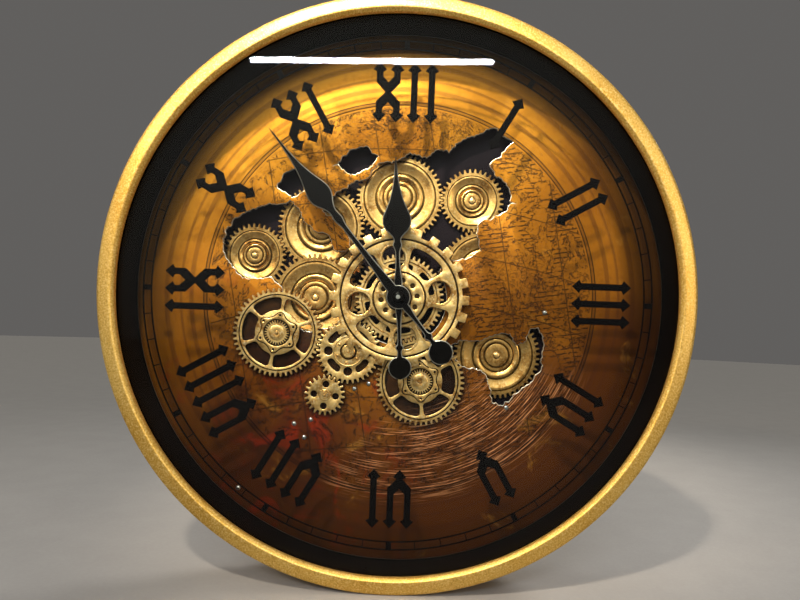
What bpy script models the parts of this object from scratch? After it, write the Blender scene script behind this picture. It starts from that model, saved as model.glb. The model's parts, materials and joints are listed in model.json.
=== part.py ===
"""Round wall clock with a turning gear train behind glass.

A spun drum holds a pierced dial plate. Plated gears turn in front of and behind the plate, driven by a
small battery motor. A long-stem quartz movement turns the two hands. The Roman numerals and the minute
track are bonded to the back of the glass.

The clock looks along -Y. Its origin is the nail that it hangs on, on the wall plane (y = 0).
Sizes below are in millimetres. A depth is measured from the front of the bezel towards the wall.
"""

import math

import bmesh
import bpy
from mathutils import Vector

MM = 0.001
FLAT = math.radians(0.3)

# Case
CASE_R = 230.0
SHEET = 1.2
GAP = 0.3
SEGMENTS = 48
RIM_WIDTH = 13.6
RIM_INSET = 2.0
BEZEL_INNER_R = CASE_R - RIM_WIDTH
BEZEL_DEPTH = 14.0
BEZEL_LIP = 6.0
BEZEL_EDGE = 4.0
DRUM_R = CASE_R - RIM_INSET + SHEET
GLASS_R = BEZEL_INNER_R + 2.6
GLASS_THICK = 3.0
LINER_INNER_R = BEZEL_INNER_R + 0.6
LINER_WALL = 1.2
DIAL_R = LINER_INNER_R - 0.5
GEAR_PLATE_R = DRUM_R - SHEET - 0.5
COVER_R = DRUM_R - SHEET - 4.0
REAR_FLANGE_R = COVER_R - 12.0

# Movement, motor and batteries
MOVEMENT_SIDE = 56.0
MOVEMENT_THICK = 16.0
AA_R = 7.1
AA_LENGTH = 49.2
BATTERY_PLAY = 0.5
MOVEMENT_BATTERY_AT = 17.0
KNOB_R = 6.0
KNOB_THICK = 3.2
KNOB_DROP = 17.0
MOTOR_SIDE = 42.0
MOTOR_THICK = 14.0
BATTERY_BOX = (76.0, 35.0, 17.0)
BATTERY_BOX_AT = (-74.0, -70.0)
BATTERY_BOX_FLOOR = 1.1
BATTERY_BOX_WALL = 2.0
SWITCH_TRAVEL = 4.0
SWITCH = (4.4, 3.4)
SWITCH_INSET = 10.0
COVER_ROOM = 4.2
DOOR_MARGIN = 2.0
DOOR_THICK = 1.5
DOOR_PIN_R = 0.6
DOOR_PIN = 2.4
HINGE_LUG = (4.0, 4.4)

# Depths of the layers, front to back
GLASS_FRONT = BEZEL_LIP
GLASS_BACK = GLASS_FRONT + GLASS_THICK
NUMERAL_FRONT = GLASS_BACK + GAP
NUMERAL_THICK = 1.2
HAND_ROOM = 8.2
HAND_THICK = 1.0
HAND_SPACE = 2.5
STEM_ROOM = 10.5
CENTRE_WHEEL_THICK = 3.0
GEAR_THICK = 2.5
DIAL_THICK = 1.5
WHEEL_SPACE = 2.0
MINUTE_HAND_FRONT = NUMERAL_FRONT + HAND_ROOM
HOUR_HAND_FRONT = MINUTE_HAND_FRONT + HAND_THICK + HAND_SPACE
CENTRE_WHEEL_FRONT = HOUR_HAND_FRONT + HAND_THICK + STEM_ROOM
FRONT_GEAR_FRONT = CENTRE_WHEEL_FRONT + CENTRE_WHEEL_THICK + WHEEL_SPACE
DIAL_FRONT = FRONT_GEAR_FRONT + GEAR_THICK + WHEEL_SPACE
INNER_GEAR_FRONT = DIAL_FRONT + DIAL_THICK + 1.5
REAR_GEAR_FRONT = INNER_GEAR_FRONT + GEAR_THICK + WHEEL_SPACE
GEAR_PLATE_FRONT = REAR_GEAR_FRONT + GEAR_THICK + WHEEL_SPACE
GEAR_PLATE_THICK = 1.5
MOVEMENT_FRONT = GEAR_PLATE_FRONT + GEAR_PLATE_THICK + GAP
BACK_COVER_FRONT = MOVEMENT_FRONT + BATTERY_BOX[2] + COVER_ROOM
BACK_COVER_THICK = 1.5
CLOCK_DEPTH = BACK_COVER_FRONT + BACK_COVER_THICK + GAP + SHEET

# Hanging: the nail sits at the top of a keyhole, this far above the clock's axis
NAIL_ABOVE_AXIS = COVER_R - 38.0
KEYHOLE_R = 6.5
KEYHOLE_SLOT_R = 3.0
KEYHOLE_RISE = 15.0

# Gear train
MODULE = 1.4
MESH_PLAY = 0.15
PINION_TEETH = 10
POST_R = 2.0
POST_PLAY = 0.25
POST_HEAD_R = 2.9
POST_HEAD = 0.7
DISH = 0.7
DISH_SPAN = (0.3, 0.86)
BOSS_RISE = 0.4
CENTRE_BOSS_RISE = 0.8
SHAFT_R = 1.5
DRUM_WEB = 2.5

# Hands and the parts on their axis
HANDS_SHOW_MINUTES = 11 * 60 + 53.4
MINUTE_HAND_LENGTH = 167.0
MINUTE_BLADE_W = 19.0
MINUTE_BLADE_AT = 102.0
MINUTE_TAIL = 55.0
MINUTE_TAIL_R = 9.8
MINUTE_HUB_R = 9.6
HOUR_HAND_LENGTH = 111.0
HOUR_BLADE_W = 23.0
HOUR_BLADE_AT = 61.0
HOUR_TAIL = 56.0
HOUR_TAIL_R = 9.3
HOUR_HUB_R = 8.6
STEM_R = 4.3
STEM_BORE_R = 3.3
STEM_TIP = CENTRE_WHEEL_FRONT - 3.0
HOUR_TUBE_R = 3.0
HOUR_TUBE_BORE_R = 2.0
HOUR_TUBE_TIP = HOUR_HAND_FRONT - 0.4
ARBOR_R = 1.7
ARBOR_TIP = MINUTE_HAND_FRONT - 2.3
RUNNING = 0.25

# Numerals and minute track
TRACK_MARGIN = 19.5
TRACK_WIDTH = 7.0
TRACK_LINE = 0.9
HOUR_TICK = 4.2
TRACK_OUTER_R = LINER_INNER_R - TRACK_MARGIN
TRACK_INNER_R = TRACK_OUTER_R - TRACK_WIDTH
NUMERAL_MARGIN = 10.0
NUMERAL_HEIGHT = 46.0
NUMERAL_OUTER_R = TRACK_INNER_R - NUMERAL_MARGIN
NUMERAL_INNER_R = NUMERAL_OUTER_R - NUMERAL_HEIGHT
BAR = 5.1
BAR_PITCH = 13.4
ARROW_W = BAR_PITCH + 0.2  # the points touch, so that each numeral is one piece
ARROW_L = 7.2
ARROW_POINT = 5.7
FORK_RISE = 7.0
FORK_LIFT = 4.6
FORK_AT = 5.5

# Dial plate: its ragged openings, clockwise, in x and height from the clock's axis
MAIN_OPENING = (
    (-145, 31), (-147, 41), (-144, 52), (-138, 61), (-128, 67), (-110, 74), (-104, 73), (-92, 76),
    (-86, 71), (-84, 64), (-74, 54), (-60, 49), (-53, 36), (-41, 38), (-44, 52), (-54, 62), (-66, 70),
    (-58, 82), (-44, 92), (-30, 98), (-22, 110), (-8, 112), (4, 120), (18, 116), (26, 123), (36, 121),
    (44, 130), (60, 137), (72, 143), (88, 132), (82, 126), (70, 114), (74, 104), (84, 98), (90, 82),
    (79, 72), (64, 66), (62, 54), (65, 42), (54, 35), (42, 34),
)
LOWER_EDGE = (
    (-52, -26), (-78, -30), (-96, -14), (-97, 5), (-107, 14), (-118, 12), (-130, 12), (-139, 21),
)
DRUM_CLEARANCE = 2.1
SIDE_OPENING = (
    (44, -37), (50, -33), (70, -32), (84, -26), (92, -26), (97, -36), (104, -33), (109, -21),
    (115, -20), (120, -32), (119, -52), (112, -64), (100, -74), (88, -85), (80, -83), (78, -72),
    (74, -60), (66, -55), (54, -54), (46, -46),
)
ROUND_OPENING = ((-104, 88), (-99, 99), (-90, 103), (-80, 97), (-78, 88), (-84, 84), (-92, 80))
NOTCH_OPENING = ((-56, 108), (-46, 120), (-32, 124), (-22, 116), (-30, 106), (-44, 100))

# Screwed stand-offs between the dial plate and the gear plate
INNER_STAND_OFFS = ((120, -6), (92, -86), (-83, -106))
OUTER_STAND_OFFS = ((60.0, 26.0), (120.0, 26.0), (231.7, 11.5))
STAND_OFF_R = 3.2
PILLAR_BEARINGS = (38.7, 141.3, 218.7, 321.3)
PILLAR_INSET = 32.0
PILLAR_R = 5.0
PILLAR_BORE = 11.0
SCREW_R = 1.6
SCREW_HEAD_R = 3.6


def y_of(depth):
    return (depth - CLOCK_DEPTH) * MM


def place(x=0.0, height=0.0):
    """World position on the wall plane of a point given from the clock's axis."""
    return Vector((x * MM, 0.0, (height - NAIL_ABOVE_AXIS) * MM))


def polar(radius, degrees):
    angle = math.radians(degrees)
    return (radius * math.cos(angle), radius * math.sin(angle))


def circle(radius, count, centre=(0.0, 0.0), start=0.0):
    points = []
    for i in range(count):
        x, z = polar(radius, start + 360.0 * i / count)
        points.append((centre[0] + x, centre[1] + z))
    return points


def rectangle(width, height, centre=(0.0, 0.0), corner=0.0):
    points = []
    for sx, sz, start in ((1, 1, 0), (-1, 1, 90), (-1, -1, 180), (1, -1, 270)):
        mid = (centre[0] + sx * (width / 2 - corner), centre[1] + sz * (height / 2 - corner))
        if corner == 0.0:
            points.append(mid)
            continue
        for step in range(3):
            x, z = polar(corner, start + 45.0 * step)
            points.append((mid[0] + x, mid[1] + z))
    return points


def material(name, colour, roughness, metallic=0.0, alpha=1.0):
    made = bpy.data.materials.new(name)
    made.use_nodes = True
    shader = made.node_tree.nodes["Principled BSDF"]
    shader.inputs["Base Color"].default_value = (*colour, 1.0)
    shader.inputs["Roughness"].default_value = roughness
    shader.inputs["Metallic"].default_value = metallic
    shader.inputs["Alpha"].default_value = alpha
    made.diffuse_color = (*colour, alpha)
    return made


def add_object(name, bm, finish, at=None, smooth=False):
    bmesh.ops.remove_doubles(bm, verts=bm.verts, dist=1e-7)
    bmesh.ops.recalc_face_normals(bm, faces=bm.faces)
    mesh = bpy.data.meshes.new(name)
    bm.to_mesh(mesh)
    bm.free()
    mesh.materials.append(finish)
    if smooth:
        mesh.shade_smooth()
        mesh.set_sharp_from_angle(angle=math.radians(35))
    made = bpy.data.objects.new(name, mesh)
    made.location = place() if at is None else at
    bpy.context.scene.collection.objects.link(made)
    return made


def plate_mesh(outline, holes, front, back):
    """A flat sheet between two depths, with its openings."""
    bm = bmesh.new()
    for ring in (outline, *holes):
        verts = [bm.verts.new((x * MM, y_of(front), z * MM)) for x, z in ring]
        for i, vert in enumerate(verts):
            bm.edges.new((verts[i - 1], vert))
    bmesh.ops.triangle_fill(bm, edges=bm.edges, use_beauty=True, use_dissolve=False)
    raised = bmesh.ops.extrude_face_region(bm, geom=list(bm.faces))
    moved = [item for item in raised["geom"] if isinstance(item, bmesh.types.BMVert)]
    bmesh.ops.translate(bm, verts=moved, vec=(0.0, (back - front) * MM, 0.0))
    return bm


def sheet(name, outline, holes, front, back, finish, at=None):
    return add_object(name, plate_mesh(outline, holes, front, back), finish, at)


def turned_mesh(profile, segments, centre=(0.0, 0.0), closed=True):
    """A ring, or a solid whose profile starts and ends on the axis. The profile holds (radius, depth)."""
    bm = bmesh.new()
    verts = [bm.verts.new((r * MM, y_of(d), 0.0)) for r, d in profile]
    edges = [bm.edges.new(pair) for pair in zip(verts, verts[1:])]
    if closed:
        edges.append(bm.edges.new((verts[-1], verts[0])))
    bmesh.ops.spin(bm, geom=verts + edges, cent=(0, 0, 0), axis=(0, 1, 0), angle=math.tau,
                   steps=segments, use_merge=True)
    bmesh.ops.translate(bm, verts=bm.verts, vec=(centre[0] * MM, 0.0, centre[1] * MM))
    bmesh.ops.remove_doubles(bm, verts=bm.verts, dist=1e-6)
    return bm


def turned(name, profile, segments, finish, centre=(0.0, 0.0), closed=True, at=None):
    return add_object(name, turned_mesh(profile, segments, centre, closed), finish, at, smooth=True)


def rod_profile(radius, front, back):
    return [(0.0, front), (radius, front), (radius, back), (0.0, back)]


def tube_profile(inner, outer, front, back):
    return [(inner, front), (outer, front), (outer, back), (inner, back)]


def combine(base, tool, operation):
    """Joins or cuts one solid with another and keeps the result as the first one's own mesh."""
    modifier = base.modifiers.new("combine", "BOOLEAN")
    modifier.operation = operation
    modifier.solver = "EXACT"
    modifier.object = tool
    bpy.context.view_layer.update()
    seen = base.evaluated_get(bpy.context.evaluated_depsgraph_get())
    bm = bmesh.new()
    bm.from_mesh(seen.to_mesh())
    base.modifiers.clear()
    bmesh.ops.remove_doubles(bm, verts=bm.verts, dist=1e-6)
    bmesh.ops.dissolve_limit(bm, angle_limit=FLAT, verts=bm.verts, edges=bm.edges)
    bmesh.ops.triangulate(bm, faces=bm.faces)
    bm.to_mesh(base.data)
    bm.free()
    bpy.data.objects.remove(tool, do_unlink=True)


def cut(base, bm):
    combine(base, add_object("cutter", bm, base.data.materials[0], base.location), "DIFFERENCE")


def join(base, bm):
    combine(base, add_object("added", bm, base.data.materials[0], base.location), "UNION")


def turn_object(made, degrees):
    made.rotation_euler = (0.0, math.radians(degrees), 0.0)


# Gears

def pitch_r(teeth):
    return MODULE * teeth / 2


def tip_r(teeth):
    return pitch_r(teeth) + MODULE


def root_r(teeth):
    return pitch_r(teeth) - 1.25 * MODULE


def gear_outline(teeth):
    """Pointed teeth. The first one points along +X."""
    pitch = 360.0 / teeth
    points = []
    for k in range(teeth):
        points.append(polar(tip_r(teeth), k * pitch))
        points.append(polar(root_r(teeth), (k + 0.5) * pitch))
    return points


def mesh_distance(teeth_a, teeth_b):
    return pitch_r(teeth_a) + pitch_r(teeth_b) + MESH_PLAY


class Wheel:
    """Where a gear of the train stands, how it is turned to mesh, and how it turns."""

    def __init__(self, teeth, driver=None, bearing=0.0):
        self.teeth = teeth
        if driver is None:
            self.centre = (0.0, 0.0)
            self.phase = 0.0
            self.ratio = 1.0
            return
        dx, dz = polar(mesh_distance(teeth, driver.teeth), bearing)
        self.centre = (driver.centre[0] + dx, driver.centre[1] + dz)
        share = driver.teeth / teeth
        self.phase = bearing + 180.0 - (driver.phase - bearing) * share - 180.0 / teeth
        self.ratio = -driver.ratio * share


def lay_out_train():
    """The gears by name: teeth, the gear that each meshes with, and its bearing from that gear."""
    train = {"centre_drum_gear": Wheel(50)}
    centre = train["centre_drum_gear"]
    train["inner_left_gear"] = Wheel(50, centre, 181.5)
    train["motor_pinion"] = Wheel(PINION_TEETH, train["inner_left_gear"], 42.4)
    train["upper_left_gear"] = Wheel(50, train["motor_pinion"], 133.5)
    train["far_left_gear"] = Wheel(36, train["upper_left_gear"], 204.8)
    train["top_gear"] = Wheel(50, train["upper_left_gear"], 23.0)
    train["upper_right_gear"] = Wheel(36, train["top_gear"], -0.5)
    train["right_idler_gear"] = Wheel(50, train["upper_right_gear"], -78.7)
    train["lower_right_gear"] = Wheel(50, train["right_idler_gear"], -78.7)
    train["perforated_wheel"] = Wheel(36, centre, 228.3)
    train["left_spoked_wheel"] = Wheel(50, train["perforated_wheel"], 167.35)
    train["small_wheel"] = Wheel(22, train["perforated_wheel"], 243.6)
    train["bottom_spoked_wheel"] = Wheel(50, centre, -73.9)
    return train


def ring_slot(inner, outer, start, sweep, steps):
    """A window between two radii, over part of a turn."""
    points = [polar(outer, start + sweep * i / steps) for i in range(steps + 1)]
    points += [polar(inner, start + sweep * (1 - i / steps)) for i in range(steps + 1)]
    return points


def boss(body, radius, front, back):
    """Joins a round, solid boss to a wheel."""
    join(body, turned_mesh(rod_profile(radius, front, back), 16, closed=False))


def bore(body, radius, front, back):
    """Drills right through a wheel between two depths."""
    cut(body, turned_mesh(rod_profile(radius, front - 1.0, back + 1.0), 12, closed=False))


def gear(name, wheel, front, finish, holes=(), boss_r=0.0):
    """A gear on a post of its own, turned so that its teeth mesh."""
    back = front + GEAR_THICK
    body = sheet(name, gear_outline(wheel.teeth), holes, front, back, finish, place(*wheel.centre))
    if boss_r:
        boss(body, boss_r, front - BOSS_RISE, front + 1.0)
    bore(body, POST_R + POST_PLAY, front, back)
    turn_object(body, -wheel.phase)
    return body


def dished_gear(name, wheel, front, finish):
    body = gear(name, wheel, front, finish)
    inner, outer = (share * root_r(wheel.teeth) for share in DISH_SPAN)
    cut(body, turned_mesh(tube_profile(inner, outer, front - 1.0, front + DISH), 16))


def spoked_wheel(name, wheel, finish):
    windows = [ring_slot(18.5, 28.5, 60 * k + 8, 44, 2) for k in range(6)]
    gear(name, wheel, FRONT_GEAR_FRONT, finish, windows, boss_r=9.0)


def perforated_wheel(name, wheel, finish):
    rounds = [circle(3.3, 8, polar(16.4, 90 * k)) for k in range(4)]
    slots = [ring_slot(14.4, 18.4, 90 * k + 27, 36, 2) for k in range(4)]
    gear(name, wheel, FRONT_GEAR_FRONT, finish, rounds + slots)


def small_wheel(name, wheel, finish):
    rounds = [circle(2.7, 8, polar(9.0, 90 * k)) for k in range(4)]
    gear(name, wheel, FRONT_GEAR_FRONT, finish, rounds)


def centre_wheel(finish):
    """The coarse wheel with square teeth, four round holes and four curved windows."""
    teeth = 24
    tip = 57.0
    root = 51.5
    pitch = 360.0 / teeth
    outline = []
    for k in range(teeth):
        for radius, share in ((root, -0.27), (tip, -0.23), (tip, 0.23), (root, 0.27)):
            outline.append(polar(radius, (k + share) * pitch))
    holes = [circle(9.0, 8, polar(33.0, 10 + 90 * k)) for k in range(4)]
    holes += [ring_slot(24.5, 42.5, 90 * k + 33, 44, 3) for k in range(4)]
    front = CENTRE_WHEEL_FRONT
    back = front + CENTRE_WHEEL_THICK
    body = sheet("centre_wheel", outline, holes, front, back, finish)
    boss(body, 13.0, front - CENTRE_BOSS_RISE, front + 1.0)
    bore(body, STEM_R + RUNNING, front, back)


def centre_drum_gear(wheel, finish):
    """A deep gear that reaches through the dial plate, so that it meshes on both sides of it."""
    front = FRONT_GEAR_FRONT
    back = INNER_GEAR_FRONT + GEAR_THICK
    body = sheet("centre_drum_gear", gear_outline(wheel.teeth), [], front, back, finish)
    hub_front = CENTRE_WHEEL_FRONT + CENTRE_WHEEL_THICK + GAP
    boss(body, 9.0, hub_front, front + 1.0)
    bore(body, STEM_R + RUNNING, hub_front, back)
    cut(body, turned_mesh(tube_profile(10.0, 29.0, front + DRUM_WEB, back + 1.0), 16))
    turn_object(body, -wheel.phase)


def motor_pinion(wheel, finish):
    front = INNER_GEAR_FRONT - 0.4
    back = REAR_GEAR_FRONT + GEAR_THICK + 0.5
    body = sheet("motor_pinion", gear_outline(wheel.teeth), [], front, back, finish, place(*wheel.centre))
    join(body, turned_mesh(rod_profile(SHAFT_R, back - 1.0, MOVEMENT_FRONT + 4.0), 8, closed=False))
    turn_object(body, -wheel.phase)


def post_profile(front_of_gear, foot):
    """A riveted post: a shank that starts in its plate, and a head in front of the gear."""
    head_back = front_of_gear - GAP
    return [
        (0.0, head_back - POST_HEAD),
        (POST_HEAD_R, head_back - POST_HEAD),
        (POST_HEAD_R, head_back),
        (POST_R, head_back),
        (POST_R, foot),
        (0.0, foot),
    ]


REAR_GEARS = ("far_left_gear", "upper_left_gear", "top_gear", "upper_right_gear", "right_idler_gear",
              "lower_right_gear")
SPOKED_WHEELS = ("left_spoked_wheel", "bottom_spoked_wheel")
FRONT_WHEELS = (*SPOKED_WHEELS, "perforated_wheel", "small_wheel")


def make_train(train, finish):
    centre_wheel(finish)
    centre_drum_gear(train["centre_drum_gear"], finish)
    dished_gear("inner_left_gear", train["inner_left_gear"], INNER_GEAR_FRONT, finish)
    for name in REAR_GEARS:
        dished_gear(name, train[name], REAR_GEAR_FRONT, finish)
    for name in SPOKED_WHEELS:
        spoked_wheel(name, train[name], finish)
    perforated_wheel("perforated_wheel", train["perforated_wheel"], finish)
    small_wheel("small_wheel", train["small_wheel"], finish)
    motor_pinion(train["motor_pinion"], finish)


# Case

def make_case(gold, black, glass):
    inside = DRUM_R - SHEET
    back = CLOCK_DEPTH
    front = BEZEL_EDGE
    turned("case_drum", [
        (inside, front), (DRUM_R, front), (DRUM_R, back), (REAR_FLANGE_R, back), (REAR_FLANGE_R, back - SHEET),
        (inside, back - SHEET),
    ], SEGMENTS, gold)
    turned("front_bezel", [
        (BEZEL_INNER_R, BEZEL_LIP - GAP), (BEZEL_INNER_R, BEZEL_LIP / 2), (BEZEL_INNER_R + 4.5, 0.0),
        (CASE_R - BEZEL_EDGE, 0.0), (CASE_R, BEZEL_EDGE), (CASE_R, BEZEL_DEPTH), (DRUM_R + GAP, BEZEL_DEPTH),
        (DRUM_R + GAP, front - GAP), (GLASS_R + GAP, front - GAP),
    ], SEGMENTS, gold)
    turned("glass", rod_profile(GLASS_R, GLASS_FRONT, GLASS_BACK), SEGMENTS, glass, closed=False)
    turned("inner_liner", [
        (LINER_INNER_R, GLASS_BACK + GAP), (LINER_INNER_R + LINER_WALL, GLASS_BACK + GAP),
        (LINER_INNER_R + LINER_WALL, GEAR_PLATE_FRONT - GAP), (LINER_INNER_R, GEAR_PLATE_FRONT - GAP),
    ], SEGMENTS, black)


# Glass furniture

def arrow(x, tip, sign):
    """The point at a stroke's end, from left to right. It points outwards, up where the sign is 1."""
    neck = tip - sign * ARROW_L
    wide = tip - sign * ARROW_POINT
    return [(x - BAR / 2, neck), (x - ARROW_W / 2, wide), (x, tip), (x + ARROW_W / 2, wide), (x + BAR / 2, neck)]


def bar_outline(x, bottom, top):
    """An upright bar with a point at each end."""
    return arrow(x, top, 1) + arrow(x, bottom, -1)[::-1]


def branch_outline(x, side, top, bend):
    """One arm of a fork: upright at one side of the middle line, then slanting in to it."""
    arm = x + side * BAR_PITCH / 2
    half = side * BAR / 2
    tail = [(arm - half, bend + FORK_LIFT + FORK_RISE), (x - half, bend + FORK_LIFT), (x - half, bend - 1.0),
            (x + half, bend - 1.0), (x + half, bend), (arm + half, bend + FORK_RISE)]
    return arrow(arm, top, 1) + (tail[::-1] if side > 0 else tail)


def foot_outline(x, low, top):
    return [(x + BAR / 2, top), (x - BAR / 2, top)] + arrow(x, low, -1)


NUMERALS = ("I", "II", "III", "IV", "V", "VI", "VII", "VIII", "IX", "X", "XI", "XII")


def numeral_strokes(text):
    """The outlines that make a numeral, centred, with its foot at the inner radius."""
    low = NUMERAL_INNER_R
    high = NUMERAL_OUTER_R
    middle = (low + high) / 2
    widths = {"I": 1, "V": 2, "X": 2}
    total = sum(widths[letter] for letter in text)
    strokes = []
    start = -BAR_PITCH * total / 2
    for letter in text:
        x = start + BAR_PITCH * widths[letter] / 2
        if letter == "I":
            strokes.append(bar_outline(x, low, high))
        if letter == "V":
            strokes += [branch_outline(x, side, high, low + FORK_AT) for side in (-1, 1)]
            strokes.append(foot_outline(x, low, low + FORK_AT + FORK_LIFT))
        if letter == "X":
            upper = [branch_outline(x, side, high, middle) for side in (-1, 1)]
            strokes += upper
            strokes += [[(px, 2 * middle - pz) for px, pz in outline][::-1] for outline in upper]
        start += BAR_PITCH * widths[letter]
    return strokes


def make_numerals(finish):
    back = NUMERAL_FRONT + NUMERAL_THICK
    for hour, text in enumerate(NUMERALS, start=1):
        strokes = numeral_strokes(text)
        name = f"numeral_{hour}"
        body = sheet(name, strokes[0], [], NUMERAL_FRONT, back, finish)
        for stroke in strokes[1:]:
            join(body, plate_mesh(stroke, [], NUMERAL_FRONT, back))
        turn_object(body, 30.0 * hour)


def make_minute_track(finish):
    """Two thin rings joined by a block at each hour. The strokes between are too fine for a solid."""
    inner = TRACK_INNER_R + TRACK_LINE
    outer = TRACK_OUTER_R - TRACK_LINE
    half = math.degrees(HOUR_TICK / 2 / outer)
    windows = [ring_slot(inner, outer, 30 * hour + half, 30 - 2 * half, 4) for hour in range(12)]
    back = NUMERAL_FRONT + NUMERAL_THICK
    sheet("minute_track", circle(TRACK_OUTER_R, 60), [circle(TRACK_INNER_R, 60), *windows],
          NUMERAL_FRONT, back, finish)


# Plates

def main_opening(train):
    """The ragged opening, closed by an arc round the deep centre gear."""
    radius = tip_r(train["centre_drum_gear"].teeth) + DRUM_CLEARANCE
    arc = [polar(radius, 38.0 - 193.0 * i / 12) for i in range(13)]
    return [*MAIN_OPENING, *arc, *LOWER_EDGE]


def make_dial_plate(train, finish):
    holes = [main_opening(train), SIDE_OPENING, ROUND_OPENING, NOTCH_OPENING]
    body = sheet("dial_plate", circle(DIAL_R, SEGMENTS), holes, DIAL_FRONT, DIAL_FRONT + DIAL_THICK, finish)
    for name in FRONT_WHEELS:
        profile = post_profile(FRONT_GEAR_FRONT - BOSS_RISE, DIAL_FRONT + 0.5)
        join(body, turned_mesh(profile, 6, train[name].centre, closed=False))


def make_gear_plate(train, finish):
    holes = [circle(STEM_R + GAP, 12), circle(SHAFT_R + GAP, 8, train["motor_pinion"].centre)]
    back = GEAR_PLATE_FRONT + GEAR_PLATE_THICK
    body = sheet("gear_plate", circle(GEAR_PLATE_R, SEGMENTS), holes, GEAR_PLATE_FRONT, back, finish)
    foot = GEAR_PLATE_FRONT + 0.5
    fronts = {"inner_left_gear": INNER_GEAR_FRONT, **{name: REAR_GEAR_FRONT for name in REAR_GEARS}}
    for name, front in fronts.items():
        join(body, turned_mesh(post_profile(front, foot), 6, train[name].centre, closed=False))
    outer = [polar(DIAL_R - inset, bearing) for bearing, inset in OUTER_STAND_OFFS]
    for spot in (*INNER_STAND_OFFS, *outer):
        profile = rod_profile(STAND_OFF_R, DIAL_FRONT + DIAL_THICK + GAP, foot)
        join(body, turned_mesh(profile, 6, spot, closed=False))
    top = BACK_COVER_FRONT - GAP
    bottom = BACK_COVER_FRONT - PILLAR_BORE
    for spot in pillar_spots():
        profile = [(0.0, back - 0.5), (PILLAR_R, back - 0.5), (PILLAR_R, top), (SCREW_R + GAP, top),
                   (SCREW_R + GAP, bottom), (0.0, bottom)]
        join(body, turned_mesh(profile, 8, spot, closed=False))


def pillar_spots():
    return [polar(COVER_R - PILLAR_INSET, bearing) for bearing in PILLAR_BEARINGS]


def keyhole(top):
    """A round hole that lets a nail head in, with a slot above it for the nail."""
    slot = KEYHOLE_SLOT_R
    low = top + slot - KEYHOLE_RISE
    side = math.degrees(math.asin(slot / KEYHOLE_R))
    points = [(slot, top), (0.7 * slot, top + 0.7 * slot), (0.0, top + slot), (-0.7 * slot, top + 0.7 * slot),
              (-slot, top)]
    sweep = 360.0 - 2 * side
    for i in range(11):
        x, z = polar(KEYHOLE_R, 90.0 + side + sweep * i / 10)
        points.append((x, low + z))
    return points


def door_size():
    return (BATTERY_BOX[0] + 2 * DOOR_MARGIN, BATTERY_BOX[1] + 2 * DOOR_MARGIN)


def door_hinge():
    """Height and depth of the hinge line, along the battery door's upper edge."""
    return (BATTERY_BOX_AT[1] + door_size()[1] / 2 - DOOR_THICK / 2, BACK_COVER_FRONT - 0.4)


def make_back_cover(finish):
    top = NAIL_ABOVE_AXIS - KEYHOLE_SLOT_R
    window = rectangle(MOVEMENT_SIDE + 4.0, MOVEMENT_SIDE + 4.0, corner=4.0)
    wide, tall = door_size()
    door_window = rectangle(wide + 2 * GAP, tall + 2 * GAP, BATTERY_BOX_AT)
    screws = [circle(SCREW_R + GAP, 8, spot) for spot in pillar_spots()]
    back = BACK_COVER_FRONT + BACK_COVER_THICK
    body = sheet("back_cover", circle(COVER_R, SEGMENTS), [keyhole(top), window, door_window, *screws],
                 BACK_COVER_FRONT, back, finish)
    height, depth = door_hinge()
    lug, lug_tall = HINGE_LUG
    for side in (-1, 1):
        edge = BATTERY_BOX_AT[0] + side * (wide / 2 + GAP)
        join(body, box_mesh((edge + side * lug / 2, height), HINGE_LUG, depth - lug_tall / 2, back - 0.5))
        reach = edge + side * (DOOR_PIN + GAP)
        cut(body, rod_along_x(edge - side, reach, height, depth, DOOR_PIN_R + GAP))


def box_mesh(centre, size, front, back):
    return plate_mesh(rectangle(size[0], size[1], centre), [], front, back)


def rod_along_x(x_from, x_to, height, depth, radius, sides=8):
    bm = bmesh.new()
    bmesh.ops.create_cone(bm, cap_ends=True, segments=sides, radius1=radius * MM, radius2=radius * MM,
                          depth=abs(x_to - x_from) * MM)
    turn = Vector((0, 0, 1)).rotation_difference(Vector((1, 0, 0))).to_matrix()
    bmesh.ops.rotate(bm, verts=bm.verts, cent=(0, 0, 0), matrix=turn)
    bmesh.ops.translate(bm, verts=bm.verts, vec=((x_from + x_to) / 2 * MM, y_of(depth), height * MM))
    return bm


def make_battery_door(finish):
    """A plate with a rounded upper edge and a pin at each end of it. Its origin is on the hinge line."""
    height, depth = door_hinge()
    at = place(BATTERY_BOX_AT[0], height) + Vector((0.0, y_of(depth), 0.0))
    half = DOOR_THICK / 2
    wide, tall = door_size()
    side = [polar(half, 30 * i) for i in range(7)]
    side += [(-half, half - tall), (half, half - tall)]
    bm = bmesh.new()
    verts = [bm.verts.new((-wide / 2 * MM, y * MM, z * MM)) for y, z in side]
    raised = bmesh.ops.extrude_face_region(bm, geom=[bm.faces.new(verts)])
    moved = [item for item in raised["geom"] if isinstance(item, bmesh.types.BMVert)]
    bmesh.ops.translate(bm, verts=moved, vec=(wide * MM, 0.0, 0.0))
    door = add_object("battery_door", bm, finish, at)
    for sign in (-1, 1):
        inner = sign * (wide / 2 - 1.0)
        outer = sign * (wide / 2 + DOOR_PIN)
        join(door, rod_along_x(inner, outer, 0.0, CLOCK_DEPTH, DOOR_PIN_R))


def make_screws(finish):
    back = BACK_COVER_FRONT + BACK_COVER_THICK
    for i, spot in enumerate(pillar_spots(), start=1):
        turned(f"back_screw_{i}", [
            (0.0, back - 9.0), (SCREW_R, back - 9.0), (SCREW_R, back + GAP), (SCREW_HEAD_R, back + GAP),
            (SCREW_HEAD_R * 0.6, back + GAP + 0.9), (0.0, back + GAP + 0.9),
        ], 8, finish, spot, closed=False)


# Hands

def blade_outline(points):
    """Mirrors one side of a hand, given as (half width, distance)."""
    return points + [(-w, d) for w, d in reversed(points) if w > 0.0]


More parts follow.
